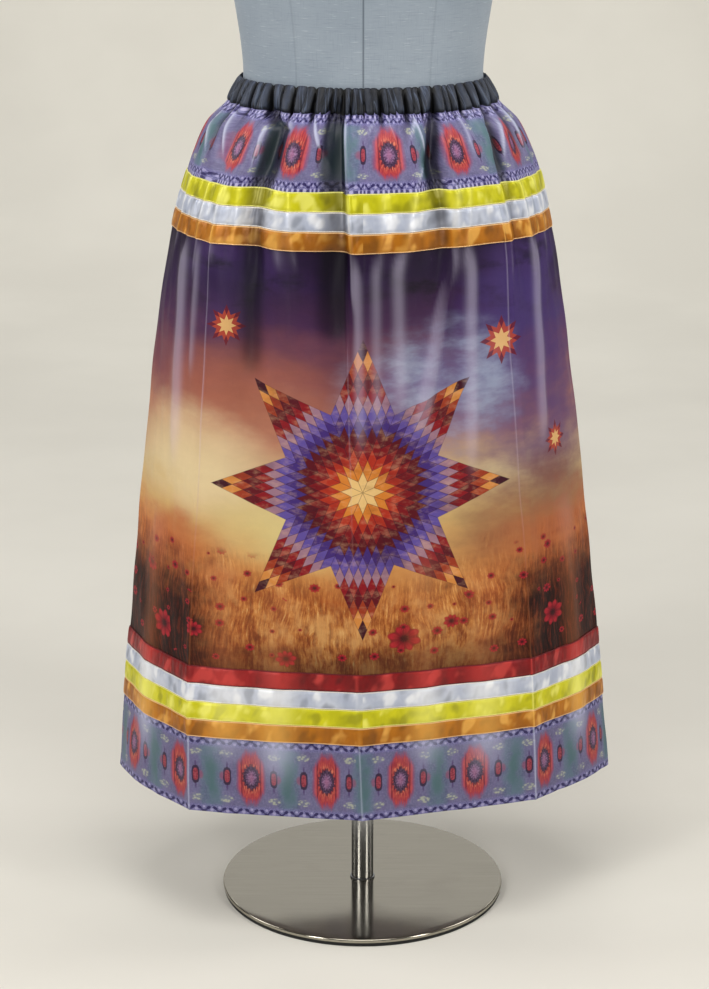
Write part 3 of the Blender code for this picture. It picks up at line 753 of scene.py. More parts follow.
def border_colours(paint, x, y, carets):
    """The ikat border: medallions with a toothed oval, lozenges on stems, specks and so many carets a medallion."""
    along = x
    x, side = x.wrap(MOTIF_PITCH), abs(x.wrap(MOTIF_PITCH))
    tall = abs(y)
    streaks = paint.noise(along * 900, y * 120, detail=2)
    blurs = paint.noise(along * 240, y * 60, 3, detail=2)
    clouds = paint.noise(along * 75, y * 50, 5, detail=3)
    mottle = paint.noise(along * 420, y * 420, 8, detail=2)
    fine = paint.noise(along * 1000, y * 1000, 11, detail=1)

    # the same noises about 0, which fray and bend the motifs' edges
    streak, blur, cloud, speckle, grit = (noise - 0.5 for noise in (streaks, blurs, clouds, mottle, fine))

    # the ground: lavender grey, bluer and greener between the motifs
    ground = paint.blend(clouds.smooth(0.3, 0.7), (86, 94, 126), (110, 116, 150))
    ground = ground.lay(mottle.smooth(0.42, 0.66) * 0.35, (146, 146, 178))
    ground = ground.lay(streaks.smooth(0.6, 0.38) * 0.28, (72, 70, 108))
    patch = (side + blur * 0.018 + cloud * 0.034).smooth(0.025, 0.044)
    ground = ground.lay(patch * 0.74, (92, 116, 132))
    core = (side + streak * 0.01 + cloud * 0.02).smooth(0.034, 0.0445)
    core *= (0.027 - tall + cloud * 0.05).smooth(-0.01, 0.014)
    ground = ground.lay(core * 0.62, (64, 104, 100))
    beside = side - LOZENGE_PLACE
    ground = ground.lay(abs(beside + 0.001).smooth(0.0095, 0.003) * 0.35, (120, 98, 148))
    veil = (0.0215 - side + blur * 0.008).smooth(-0.005, 0.006) * (0.041 - tall).smooth(-0.006, 0.006)
    ground = ground.lay(veil * 0.26, (118, 86, 136))

    # lozenges: dark caps with a spike, a red heart, and a red blush toward the patch
    blush = oval(beside - 0.0052, 0.004, y, 0.0062)
    colour = paint.blend((1 - blush + streak * 0.9).smooth(-0.3, 0.9) * 0.6, ground, (150, 62, 92))
    frays = streak * 0.6 + speckle * 0.4
    body = (abs(beside) / LOZENGE_HALF[0]) ** 2.6 + (tall / LOZENGE_HALF[1]) ** 3.2 + frays
    stem = (abs(beside) + speckle * 0.0008).smooth(0.0014, 0.0006) * (tall + frays * 0.005).smooth(0.02, 0.015)
    colour = colour.lay(stem * 0.7, (70, 40, 98))
    colour = colour.lay(body.smooth(1.3, 0.9) * 0.95, (44, 18, 54))
    fill = paint.blend(mottle.smooth(0.35, 0.65), (132, 36, 54), (172, 68, 82))
    heart = (abs(beside) / 0.0029) ** 2.6 + (tall / 0.008) ** 3 + frays * 0.8
    colour = colour.lay(heart.smooth(1.15, 0.75) * 0.92, fill)

    # medallions: coral, with a dark line down each side and ends that fade away in two points
    peak_x, peak_y, slope = MEDALLION_PEAK
    reach = peak_y - (side - peak_x).high(0) * slope - (peak_x - side).high(0) * 0.55
    ends = reach - tall + streak * 0.014 + speckle * 0.004
    sides = MEDALLION_HALF - side + blur * 0.002 + (0.02 - tall).low(0) * 0.18
    whole = ends.smooth(-0.004, 0.004) * sides.smooth(-0.0014, 0.0014)
    fringe = (ends + 0.004).smooth(-0.005, 0.004) * (sides + 0.0022).smooth(-0.0018, 0.0018)
    colour = colour.lay(fringe * 0.6, (144, 56, 92))
    coral = paint.blend(streaks.smooth(0.34, 0.66), (152, 42, 50), (190, 72, 66))
    coral = coral.lay(mottle.smooth(0.58, 0.72) * 0.35, (212, 104, 86))
    coral = coral.lay(ends.smooth(0.01, 0.001) * 0.45, (158, 44, 74))
    coral = coral.lay(abs(side - 0.0108).smooth(0.0011, 0.0004) * 0.8, (104, 20, 50))
    coral = coral.lay(side.smooth(0.0116, 0.0126) * 0.55, (190, 84, 98))
    far = (side / OVAL_HALF[0]) ** 1.9 + (tall / OVAL_HALF[1]) ** 1.9
    sparks = streaks.smooth(0.5, 0.6) * far.smooth(2.3, 1.4) * (tall / OVAL_HALF[1]).smooth(0.5, 1)
    coral = coral.lay(sparks * 0.48, (238, 156, 112))
    colour = colour.lay(whole, coral)

    # the toothed oval in it, a ring of dark dabs about a mauve heart
    turn = (tall / OVAL_HALF[1]).math("ARCTAN2", side / OVAL_HALF[0])
    teeth = (turn * 16).sine()
    rough = streak * 0.45 + speckle * 0.35
    dabs = (far + teeth * 0.24 + rough).smooth(1.32, 1.02) * (far - teeth * 0.14 + rough).smooth(0.3, 0.5)
    heart = paint.blend(mottle.smooth(0.36, 0.64), (84, 56, 96), (146, 112, 152))
    heart = heart.lay((side / 0.004 + tall / 0.009).smooth(1.3, 0.3) * 0.55, (164, 104, 142))
    colour = colour.lay(far.smooth(1.02, 0.84) * 0.95, heart)
    colour = colour.lay(dabs * (teeth * 0.14 + 0.84), (40, 14, 46))

    # clusters of pale petals above and below the lozenges
    petals = Spot(paint, paint.cells(along * 270, y * 350)["Distance"]).smooth(0.62, 0.28)
    cluster = oval(beside - 0.0006, 0.0078, tall - SPECK_PLACE, 0.0048)
    colour = colour.lay(cluster.smooth(1.3, 0.2) * 0.3, (136, 146, 150))
    colour = colour.lay(petals * cluster.smooth(1.25, 0.55) * 0.68, (186, 190, 164))

    # the two rows of carets: three heavy dabs each on short arms, with pale knots between them and dots outside
    up, pitch, small = tall - CARET_PLACE, MOTIF_PITCH / carets, 5 / carets
    ragged = grit * 0.001
    strip = (up + 0.006 + speckle * 0.004).smooth(-0.003, 0.003)
    pale = paint.blend(fine.smooth(0.42, 0.6), (84, 80, 136), (146, 140, 192))
    colour = colour.lay(strip * 0.8, pale)
    step = abs(along.wrap(pitch)) / small
    knots = ((step**2 + (up + 0.0026) ** 2) ** 0.5 + ragged).smooth(0.0022, 0.001)
    knots = knots.high((((step - 0.0089) ** 2 + (up - 0.001) ** 2) ** 0.5 + ragged).smooth(0.0026, 0.0012))
    colour = colour.lay(knots * 0.62, (184, 178, 218))
    half = abs(along.wrap(pitch / 2)) / small
    dots = oval(half, 0.0024, up - 0.0088, 0.003) + grit * 0.9
    gaps = oval(half - 0.00445, 0.002, up - 0.0082, 0.0036) + grit * 0.9
    outside = (up - 0.0046).smooth(-0.001, 0.0014)
    colour = colour.lay(outside * gaps.smooth(1.2, 0.5) * 0.7, (192, 186, 224))
    lengthwise, across = (step - 0.0052) * 0.8 - (up + 0.0014) * 0.6, (step - 0.0052) * 0.6 + (up + 0.0014) * 0.8
    foot = oval(lengthwise, 0.0028, across, 0.0018) + grit * 0.6
    tip = oval(step, 0.0026, up - 0.0032, 0.0019) + grit * 0.6
    arm = (abs((up - 0.003) * 0.8 + step * 0.6) + ragged).smooth(0.0014, 0.0008) * step.smooth(0.0062, 0.005)
    ink = foot.smooth(1.25, 0.8).high(tip.smooth(1.25, 0.8)).high(arm * 0.85)
    ink = ink.high(dots.smooth(1.2, 0.7) * outside * 0.8)
    return paint.blend(ink * 0.95, colour, (34, 24, 84))


def make_border(name, carets, painted_shade_share):
    paint = Paint(name, roughness=0.46, specular_ior_level=0.34, anisotropic=0.5, anisotropic_rotation=0.25)
    x, y = paint.uv()
    # The whole print darkened toward near black by this share: painted shade, used on the hem band.
    colour = paint.blend(painted_shade_share, border_colours(paint, x, y, carets), (20, 16, 26))
    # Painted shade in the fold hollows and a painted highlight on the crests.
    colour = paint.painted_shade_and_highlight(colour, 0.88, (42, 42, 52), 0.6, (208, 212, 236))
    relief, weave = satin_bump(paint, x, y, 55, 16, SATIN_PUCKER)
    return paint.finish(colour, relief, SATIN_PUCKER, weave.linear(0.3, 0.7, 0.42, 0.52))


def make_reverse(name, colour, faint):
    """The unprinted back of a printed cloth: pale, with a little of the print showing through."""
    paint = Paint(name, roughness=0.62, sheen_weight=0.05)
    x, y = paint.uv()
    blots = paint.noise(x * 38, y * 30, detail=3)
    relief, grain = satin_bump(paint, x, y, 40, 12, SATIN_PUCKER)
    mixed = paint.blend(blots.smooth(0.4, 0.65) * 0.5, colour, faint)
    mixed = mixed.lay(grain.smooth(0.4, 0.6) * 0.25, (235, 232, 228))
    return paint.finish(mixed, relief, SATIN_PUCKER)


# The generic picture: a dusk wash with a large eight-pointed quilt star over a field of rosettes.
STAR_CENTRE = 0.575
STAR_REACH = 0.182
STAR_DIAMONDS = 7
STAR_COLOURS = (
    (226, 186, 120),
    (206, 122, 44),
    (168, 46, 28),
    (118, 16, 24),
    (86, 10, 24),
    (64, 40, 112),
    (92, 74, 150),
    (150, 112, 130),
    (132, 18, 28),
    (92, 12, 24),
    (150, 54, 28),
    (202, 130, 62),
    (60, 12, 28),
)
WASH = (
    (0.35, (36, 16, 14)),
    (0.385, (104, 48, 26)),
    (0.43, (172, 92, 42)),
    (0.48, (200, 142, 80)),
    (0.53, (202, 170, 112)),
    (0.58, (200, 176, 134)),
    (0.64, (172, 116, 92)),
    (0.7, (122, 70, 76)),
    (0.76, (68, 38, 72)),
    (0.81, (44, 24, 62)),
    (0.86, (28, 14, 42)),
)
SMALL_STARS = ((-0.165, 0.762, 0.024), (0.172, 0.742, 0.029), (0.262, 0.61, 0.022))
SMALL_STAR_COLOURS = ((226, 178, 110), (170, 62, 34), (100, 14, 30))
# Large and small rosettes: cells to a metre across and up, least and greatest radius, how many cells stay empty, and
# how high they grow. Their colours run from the eye outwards.
ROSETTES = ((9.5, 11, 0.01, 0.0215, 0.4, 0.425), (27, 33, 0.0025, 0.0075, 0.3, 0.475))
ROSETTE_COLOURS = (
    (0, (24, 6, 12)),
    (0.2, (52, 8, 18)),
    (0.4, (122, 12, 30)),
    (0.8, (170, 30, 44)),
    (1, (140, 22, 34)),
)
# Soft patches of the wash: middle across and up, half width and height, how loose the edge is, where it starts and
# ends, strength and colour (None for the blue cloud's two).
PATCHES = (
    (0.235, 0.7, 0.16, 0.15, 1.0, -0.4, 1.1, 0.8, (66, 50, 108)),
    (0.09, 0.69, 0.12, 0.085, 1.0, -0.3, 1.2, 0.75, None),
    (-0.15, 0.69, 0.13, 0.06, 1.0, -0.2, 1.2, 0.58, (168, 98, 68)),
    (-0.225, 0.6, 0.11, 0.07, 0.9, -0.3, 1.1, 0.7, (226, 204, 160)),
    (-0.06, 0.52, 0.14, 0.05, 0.7, -0.4, 1.1, 0.6, (212, 196, 134)),
    (0.23, 0.52, 0.15, 0.08, 1.0, -0.3, 1.1, 0.78, (118, 66, 50)),
    (-0.245, 0.49, 0.075, 0.05, 1.0, -0.3, 1.1, 0.7, (156, 84, 46)),
)


def star(paint, x, y, reach, diamonds, palette):
    """An eight-pointed quilt star: each point is a rhomb of small diamonds, coloured in rings. Returns its cover,
    its colour and how near its seams are."""
    radius = (x**2 + y**2) ** 0.5
    turn = y.math("ARCTAN2", x)
    eighth = math.pi / 4
    spun = turn.wrap(eighth)
    along, across = radius * spun.math("COSINE"), radius * spun.sine()
    side = reach / (2 * math.cos(eighth / 2))
    first = along / (2 * math.cos(eighth / 2)) + across / (2 * math.sin(eighth / 2))
    second = along / (2 * math.cos(eighth / 2)) - across / (2 * math.sin(eighth / 2))
    first, second = first * (diamonds / side), second * (diamonds / side)
    inside = (first.high(second)).smooth(diamonds + 0.05, diamonds - 0.05)
    ring = first.floor() + second.floor()
    colour = paint.ramp(
        (ring + 0.5) / float(2 * diamonds - 1),
        [(index / (2 * diamonds - 1), shade) for index, shade in enumerate(palette)],
        "CONSTANT",
    )
    seam = abs(first.wrap(1)).low(abs(second.wrap(1)))
    return inside, colour, seam


def make_picture():
    paint = Paint(
        "cloth_picture_print", roughness=0.46, specular_ior_level=0.16, anisotropic=0.5, anisotropic_rotation=0.25
    )
    x, z = paint.uv()
    drift = paint.noise(x * 5, z * 7, 1, detail=3)
    fine = paint.noise(x * 16, z * 34, 2, detail=4, roughness=0.6)
    brush = paint.noise(x * 60, z * 110, 4, detail=3, roughness=0.6)
    sway, fray = drift - 0.5, fine - 0.5
    warped = z + sway * 0.11 + fray * 0.05
    low, high = WASH[0][0], WASH[-1][0]
    colour = paint.ramp(
        warped.linear(low, high), [((place - low) / (high - low), shade) for place, shade in WASH]
    )
    dusk = ((abs(x - 0.03) - 0.19) / 0.075) ** 2 + ((z - 0.83) / 0.08) ** 2
    colour = colour.lay((1 - dusk + sway).smooth(-0.4, 1.1) * 0.7, (64, 42, 96))
    # dusk violet and blue to the right, and pale glows left and in the middle
    ramble = sway * 1.6 + fray * 1.2
    cloud = paint.blend(fine.smooth(0.3, 0.7), (104, 100, 146), (160, 172, 196))
    for middle_x, middle_z, half_x, half_z, loose, start, end, strength, shade in PATCHES:
        patch = 1 - oval(x - middle_x, half_x, z - middle_z, half_z) + ramble * loose
        colour = colour.lay(patch.smooth(start, end) * strength, shade or cloud)
    dark = (fine.smooth(0.52, 0.3) + drift.smooth(0.5, 0.3)) * z.smooth(0.74, 0.84)
    colour = colour.lay(dark * 0.6, (14, 8, 22))

    # tall grass in strokes, dark at its foot and toward the sides
    blades = paint.noise(x * 260 + sway * 14, z * 34, 9, detail=5, roughness=0.75)
    tufts = paint.noise(x * 34, z * 26, 5, detail=4, roughness=0.65)
    blade = blades - 0.5
    grass = (0.468 - z + fray * 0.1 + abs(x) * 0.16).smooth(-0.015, 0.055)
    shade = paint.ramp(
        blades.linear(0.3, 0.7),
        [(0, (66, 30, 16)), (0.4, (146, 74, 30)), (0.7, (206, 136, 66)), (1, (240, 206, 140))],
    )
    shade = shade.lay(tufts.smooth(0.42, 0.72) * 0.8, (222, 170, 104))
    shade = shade.lay(tufts.smooth(0.52, 0.28) * 0.75, (74, 34, 20))
    rusty = (abs(x) + sway * 0.1).smooth(0.1, 0.25)
    shade = shade.lay(rusty * 0.6, paint.blend(blades.smooth(0.35, 0.65), (104, 34, 16), (198, 92, 42)))
    haze = rusty * (0.545 - z + fray * 0.08).smooth(-0.02, 0.06)
    colour = colour.lay(haze * 0.6, (190, 96, 50))
    colour = colour.lay(grass * 0.72, shade)
    foot = (0.385 - z + fray * 0.07 + blade * 0.05).smooth(-0.01, 0.035)
    colour = colour.lay(foot * 0.65, (56, 20, 13))
    corner = (abs(x) + fray * 0.08 + sway * 0.08).smooth(0.135, 0.235)
    gloom = corner * (0.5 - z + fray * 0.06).smooth(-0.01, 0.08)
    colour = colour.lay(gloom * 0.98, paint.blend(blades.smooth(0.44, 0.74), (14, 1, 3), (104, 34, 16)))

    # rosettes scattered in the grass: a few large ones, and small ones farther up
    for scale_x, scale_z, small, large, limit, top in ROSETTES:
        cells = paint.cells(x * scale_x, z * scale_z, 0.5)
        place, size = (paint.split(Spot(paint, cells[output])) for output in ("Position", "Color"))
        off_x, off_y = (x * scale_x - place[0]) / scale_x, (z * scale_z - place[1]) / scale_z
        far = (off_x**2 + (off_y * 1.25) ** 2) ** 0.5
        spin = off_y.math("ARCTAN2", off_x)
        petals = (spin * 8 + size[1] * 6).sine()
        bloom = size[0].linear(0, 1, small, large) * (petals * 0.1 + 0.9 + blade * 0.25)
        below = (top - z + abs(x) * 0.12).smooth(-0.006, 0.01)
        open_ = (bloom - far).smooth(-0.0012, 0.0014) * size[2].over(limit) * below
        red = paint.ramp(far / bloom, ROSETTE_COLOURS)
        red = red.lay(petals.smooth(0.2, -0.9) * 0.55, (84, 10, 24))
        colour = colour.lay(open_ * 0.92, red)

    # the stars
    up = z - STAR_CENTRE
    radius = (x**2 + up**2) ** 0.5
    cover, shades, seam = star(paint, x, up, STAR_REACH, STAR_DIAMONDS, STAR_COLOURS)
    shades = shades.lay(brush.smooth(0.45, 0.75) * 0.22, (232, 190, 150))
    shades = shades.lay(fine.smooth(0.5, 0.3) * 0.4, (50, 12, 28))
    shades = shades.lay(seam.smooth(0.055, 0.02) * 0.55, (52, 20, 34))
    outline = (radius / STAR_REACH).smooth(1.06, 0.99)
    colour = colour.lay(cover * outline, shades)
    for small_x, small_z, reach in SMALL_STARS:
        cover, shades, seam = star(paint, x - small_x, z - small_z, reach, 2, SMALL_STAR_COLOURS)
        colour = colour.lay(cover * 0.85, shades)
    colour = paint.blend(brush.smooth(0.35, 0.75) * 0.1, colour, (255, 236, 210), "SOFT_LIGHT")
    relief, weave = satin_bump(paint, x, z, 42, 9, SATIN_PUCKER)
    # Colours of the painted highlight on the crests (warm low down, lavender higher up) and of the painted shade in
    # the hollows.
    sheen = paint.blend(z.smooth(0.42, 0.7), (180, 108, 66), (206, 198, 222))
    deep = paint.blend(z.smooth(0.42, 0.6), (42, 18, 18), (54, 42, 66))
    colour = paint.painted_shade_and_highlight(colour, 0.78, deep, 0.27, sheen)
    return paint.finish(colour, relief, SATIN_PUCKER, weave.linear(0.3, 0.7, 0.44, 0.54))


def make_ribbon(name, spot, deep, light, edge, gleam):
    """Satin ribbon: fine threads across it, a woven edge, and a paler line where it is stitched."""
    shadow = tuple(0.7 * level for level in deep)
    paint = Paint(
        name, roughness=0.44, metallic=0.22, specular_ior_level=0.4, anisotropic=0.5, anisotropic_rotation=0.25
    )
    x, y = paint.uv()
    threads = paint.noise(x * 2600, y * 120, detail=1)
    length = paint.noise(x * 60, y * 900, 3, detail=2)
    sheen_mottle = paint.noise(x * 46, y * 24, 6, detail=3)
    # The base colour wavers at random between the satin's tone in shade (deep) and its lit tone (light): a painted
    # mottled sheen, with a little of its fine threads.
    colour = paint.blend(sheen_mottle.smooth(0.32, 0.68) * 0.8 + threads * 0.2, deep, light)
    lean = x + y * 0.2
    # Leaning patches of painted shadow and painted sheen over the satin.
    sheen_and_shadow_patches = paint.noise(lean * 56, y * 34, spot, detail=1.5)
    colour = colour.lay(sheen_and_shadow_patches.smooth(0.47, 0.31) * 0.62, shadow)
    colour = colour.lay(sheen_and_shadow_patches.smooth(0.53, 0.68) * 0.68, gleam)
    # Painted shade in the fold hollows and a painted highlight of the gleam colour on the crests.
    colour = paint.painted_shade_and_highlight(colour, 0.7, (104, 96, 92), 0.8, gleam)
    border = (abs(y - 0.0111) + (threads - 0.5) * 0.0003).smooth(0.0095, 0.0101)
    colour = colour.lay(border * 0.8, edge)
    grain = threads * 0.7 + length * 0.3
    waves = paint.noise(x * 60, y * 26, 9, detail=2, roughness=0.45)
    relief = waves + grain * (0.00007 / RIBBON_PUCKER)
    return paint.finish(colour, relief, RIBBON_PUCKER, grain.linear(0.3, 0.7, 0.38, 0.48))


def make_casing():
    paint = Paint("cloth_black_satin", roughness=0.46, specular_ior_level=0.32, anisotropic=0.4)
    x, y = paint.uv()
    threads = paint.noise(x * 1500, y * 240, detail=2)
    bumps_and_sheen = paint.noise(x * 90, y * 40, 2, detail=3)
    # Soft bumps in the satin, painted lighter where they stand higher: a painted sheen.
    colour = paint.blend(bumps_and_sheen.smooth(0.35, 0.68), (15, 18, 26), (34, 41, 56))
    colour = colour.lay(threads.smooth(0.45, 0.75) * 0.3, (58, 66, 84))
    wrinkles = paint.noise(x * 120 + y * 16, y * 9, 7, detail=1.5)
    # Painted shade in the wrinkles' hollows and a painted highlight line along their raised sides; the same wrinkles
    # lift the bump.
    colour = colour.lay(wrinkles.smooth(0.44, 0.32) * 0.75, (12, 13, 18))
    colour = colour.lay(abs(wrinkles - 0.55).smooth(0.03, 0.006) * 0.5, (90, 102, 124))
    # Painted shade in the elastic's grooves and a painted highlight on its puffs.
    colour = paint.painted_shade_and_highlight(colour, 0.98, (22, 22, 30), 0.3, (80, 90, 112))
    relief = threads * 0.1 + bumps_and_sheen * 0.3 + wrinkles * 0.6
    return paint.finish(colour, relief, 0.0014, threads.linear(0.3, 0.7, 0.42, 0.55))


def make_linen():
    """The form's cover: slubby linen in grey-blue, thick and thin threads both ways."""
    paint = Paint("form_linen", roughness=0.88, sheen_weight=0.15)
    x, y = paint.uv()
    weft = paint.noise(x * 42, y * 820, 1, detail=3, roughness=0.6)
    warp = paint.noise(x * 820, y * 42, 2, detail=3, roughness=0.6)
    slubs = paint.noise(x * 70, y * 620, 5, detail=1)
    fade = paint.noise(x * 9, y * 9, 8, detail=2)
    colour = paint.blend(fade.smooth(0.3, 0.7), (138, 150, 162), (150, 161, 172))
    colour = colour.lay(weft.smooth(0.52, 0.72) * 0.38, (112, 124, 138))
    colour = colour.lay(warp.smooth(0.54, 0.74) * 0.3, (116, 128, 142))
    colour = colour.lay(slubs.smooth(0.62, 0.78) * 0.45, (182, 191, 200))
    colour = colour.lay(paint.shade(), (58, 70, 82))
    weave = weft * 0.5 + warp * 0.4 + slubs.smooth(0.55, 0.8) * 0.3
    return paint.finish(colour, weave, 0.00035, weave.linear(0.3, 0.8, 0.8, 0.95))


def make_steel(name, turned=False):
    """Brushed stainless steel. turned is for the pole, whose brushing runs round it."""
    paint = Paint(name, roughness=0.26, metallic=1)
    x, y, z = paint.here()
    if turned:
        brushed = paint.noise(x * 400, y * 400, z * 3, detail=2)
    else:
        brushed = paint.noise(x * 9, y * 1400, z * 9, detail=3)
    smears = paint.noise(x * 14, y * 22, z * 14, detail=4, roughness=0.6)
    spots = paint.noise(x * 160, y * 160, 3, detail=2)
    deep, light = ((150, 151, 152), (180, 181, 182)) if turned else ((166, 161, 148), (188, 183, 168))
    colour = paint.blend(brushed.smooth(0.3, 0.7) * 0.5, deep, light)
    colour = colour.lay(smears.smooth(0.52, 0.75) * 0.35, (156, 150, 138))
    colour = colour.lay(spots.smooth(0.7, 0.8) * 0.25, (120, 112, 100))
    if turned:
        return paint.finish(colour)
    return paint.finish(colour, brushed, 0.00002, smears.linear(0.3, 0.7, 0.07, 0.13) + brushed * 0.02)


def make_rubber():
    paint = Paint("pad_rubber", roughness=0.75)
    x, y, z = paint.here()
    grit = paint.noise(x * 700, y * 700, z * 700, detail=3)
    colour = paint.blend(grit.smooth(0.4, 0.7), (14, 14, 14), (26, 26, 25))
    return paint.finish(colour, grit, 0.0002, grit.linear(0.3, 0.7, 0.65, 0.85))


def make_thread(name, colour, pale):
    paint = Paint(name, roughness=0.55, sheen_weight=0.2)
    x, y, z = paint.here()
    twist = paint.noise(x * 900, y * 900, z * 900, detail=2)
    return paint.finish(paint.blend(twist.smooth(0.35, 0.7), colour, pale), twist, 0.0001)


def make_ground():
    paint = Paint("studio_paper", roughness=0.9)
    x, y, z = paint.here()
    mottle = paint.noise(x * 2, y * 2, z * 2, detail=4)
    return paint.finish(paint.blend(mottle.smooth(0.3, 0.7), (220, 217, 208), (226, 223, 214)))


BORDER = make_border("cloth_border_print", 5, 0.14)
BORDER_GATHERED = make_border("cloth_border_gathered", 9, 0.0)
BORDER_BACK = make_reverse("cloth_border_reverse", (206, 202, 214), (168, 162, 196))
PICTURE = make_picture()
PICTURE_BACK = make_reverse("cloth_picture_reverse", (212, 202, 196), (184, 158, 142))
CASING = make_casing()
LINEN = make_linen()
# Each ribbon: a noise seed, its tone in shade and its lit tone (mixed as painted sheen), its edge colour, and the
# colour of its painted highlights.
RIBBONS = {
    "yellow": make_ribbon("satin_yellow", 14.0, (188, 184, 4), (218, 212, 18), (236, 232, 130), (248, 244, 118)),
    "white": make_ribbon("satin_white", 31.0, (172, 180, 200), (206, 211, 224), (236, 230, 222), (252, 253, 255)),
    "orange": make_ribbon("satin_orange", 47.0, (152, 88, 2), (190, 116, 10), (240, 196, 140), (240, 180, 84)),
    "red": make_ribbon("satin_red", 63.0, (106, 5, 9), (144, 13, 19), (84, 6, 16), (208, 66, 60)),
}
THREADS = {
    "yellow": make_thread("thread_yellow", (236, 226, 120), (250, 244, 180)),
    "white": make_thread("thread_white", (236, 228, 222), (250, 246, 240)),
    "orange": make_thread("thread_orange", (228, 172, 104), (246, 206, 150)),
    "red": make_thread("thread_red", (120, 12, 30), (150, 26, 44)),
}
STEEL = make_steel("steel_brushed")
STEEL_TURNED = make_steel("steel_turned", turned=True)
RUBBER = make_rubber()

# ---------------------------------------------------------------- the skirt's pieces

# Wall of the cloth in the scene, how high the turned hem reaches, and the ribbon's inner face outside the cloth.
CLOTH_THICK = 0.0008
HEM_TURN = 0.012
RIBBON_IN = 0.0003

# Where the medallions' middles lie round the ring, and in the upper band the lozenges with their numbers: the
# border is cut and gathered unevenly in front.
UPPER_MOTIFS = (-0.256, -0.134, -0.0668, 0.0245, 0.0955, 0.184)
UPPER_SMALL = (
    (-0.19, -0.3), (-0.1086, 0.3), (-0.0862, 0.7), (-0.0425, 1.3), (0.0, 1.7), (0.0485, 2.3), (0.07, 2.7),
    (0.1212, 3.3), (0.1575, 3.7),
)
HEM_MOTIFS = (-0.2162, -0.1371, -0.0785, -0.025, 0.0267, 0.0795, 0.1376, 0.222)
# The upper band is drawn up: its print at these heights, in metres down from its middle, negated.
UPPER_LEVELS = (0.91, 0.9285, 0.9378, 0.9488, 0.962, 0.9752, 0.9885, 0.9965, 1.012)
UPPER_PRINT = (-0.07, -0.044, -0.0325, -0.0152, 0.0, 0.0152, 0.0325, 0.044, 0.0781)
# How many motifs lie round the back beside the named ones, the middle of the hem band's print, and its rows' heights
# over the hem where the turned edge ends.
UPPER_SPARE = 6
HEM_SPARE = 10
HEM_MIDDLE = 0.2124
HEM_ROWS = (0.0125, 0.0115, 0.006, 0.001, 0.0)


def ride(piece, slot, *nodes):
    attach(piece, "root")
    if nodes:
        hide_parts(*nodes)
    return piece


def motif_numbers(at, anchors, total):
    """The motif number at each place, from (place, number) anchors and the number of motifs in a whole turn."""
    anchors = sorted((place + turn, number + turn * total) for place, number in anchors for turn in (-1, 0, 1))
    return np.interp(at, *zip(*anchors))


def upper_anchors():
    """Both edges of every motif of the upper band, since the gathers bunch the cloth between them."""
    anchors = []
    for number, place in enumerate(UPPER_MOTIFS):
        anchors += [(place - 0.014, number - 0.172), (place, float(number)), (place + 0.014, number + 0.172)]
    for place, number in UPPER_SMALL:
        anchors += [(place - 0.0042, number + 0.926), (place + 0.0042, number + 1.074)]
    return anchors


def grid(across, down):
    """UVs from places across and down."""
    return np.stack(np.broadcast_arrays(across, down[:, None]), axis=-1)


def girth(height):
    """Length of the bare ring at a height."""
    ring = plan_rings(np.linspace(0, 1, 400), [height])[0]
    return float(np.hypot(*np.diff(ring, axis=0).T).sum())


def open_sheet(name, at, heights, uv, materials, hem_extra=0.0):
    """A panel of cloth with a side edge at either end: outer face, inner face and rims. A hem is thicker."""
    inward = np.full(len(heights), CLOTH_THICK)
    inward[heights < heights.min() + HEM_TURN] += hem_extra
    rows = np.concatenate([cloth(at, heights), cloth(at, heights, out=-inward[:, None])[::-1]])
    uv = np.concatenate([uv, uv[::-1]])
    # the painted fold shade and highlight, on the outer face only
    shade = fold_shade(at, heights)
    shade = np.concatenate([shade, np.zeros_like(shade)])
    return loft(name, rows, uv, False, materials, inner_from=len(heights), smooth_angle=1.2, shade=shade)


SIDES = ("front", "back")


def side_stretch(side):
    if side == "front":
        return SIDE_LEFT - 1.0 + SEAM_SHARE, SIDE_RIGHT - SEAM_SHARE
    return SIDE_RIGHT + SEAM_SHARE, SIDE_LEFT - SEAM_SHARE


# How far the band's top reaches up inside the casing, and the casing's length round in its material's metres.
CASING_LAP = 0.004
CASING_RUN = 1.25

# The casing's section, from its foot up the outside, over the elastic and down the inside: share of the height (in
# thousandths), how far puffs and grooves count (hundredths), how far out it stands (1/10 mm), and how far it follows
# the folds (hundredths).
CASING_SECTION = np.array([
    (0, 80, 95, -52, 100), (-35, 80, 95, -42, 100), (0, 85, 100, -34, 100), (60, 95, 100, -26, 95),
    (140, 100, 100, -18, 90), (230, 100, 98, -12, 85), (330, 100, 95, -8, 80), (430, 100, 90, -6, 75),
    (530, 100, 84, -6, 70), (630, 98, 76, -7, 60), (720, 92, 66, -8, 50), (800, 84, 56, -9, 40),
    (870, 72, 46, -9, 30), (930, 56, 36, -10, 20), (975, 38, 26, -11, 10), (1005, 20, 14, -14, 0),
    (1010, 8, 4, -18, 0), (990, 0, 0, -22, 0), (940, 0, 0, -25, 0), (700, 0, 30, -40, 40), (400, 10, 60, -56, 70),
    (150, 40, 85, -70, 90), (20, 70, 100, -66, 100),
]) / (1000, 100, 100, 1e4, 100)


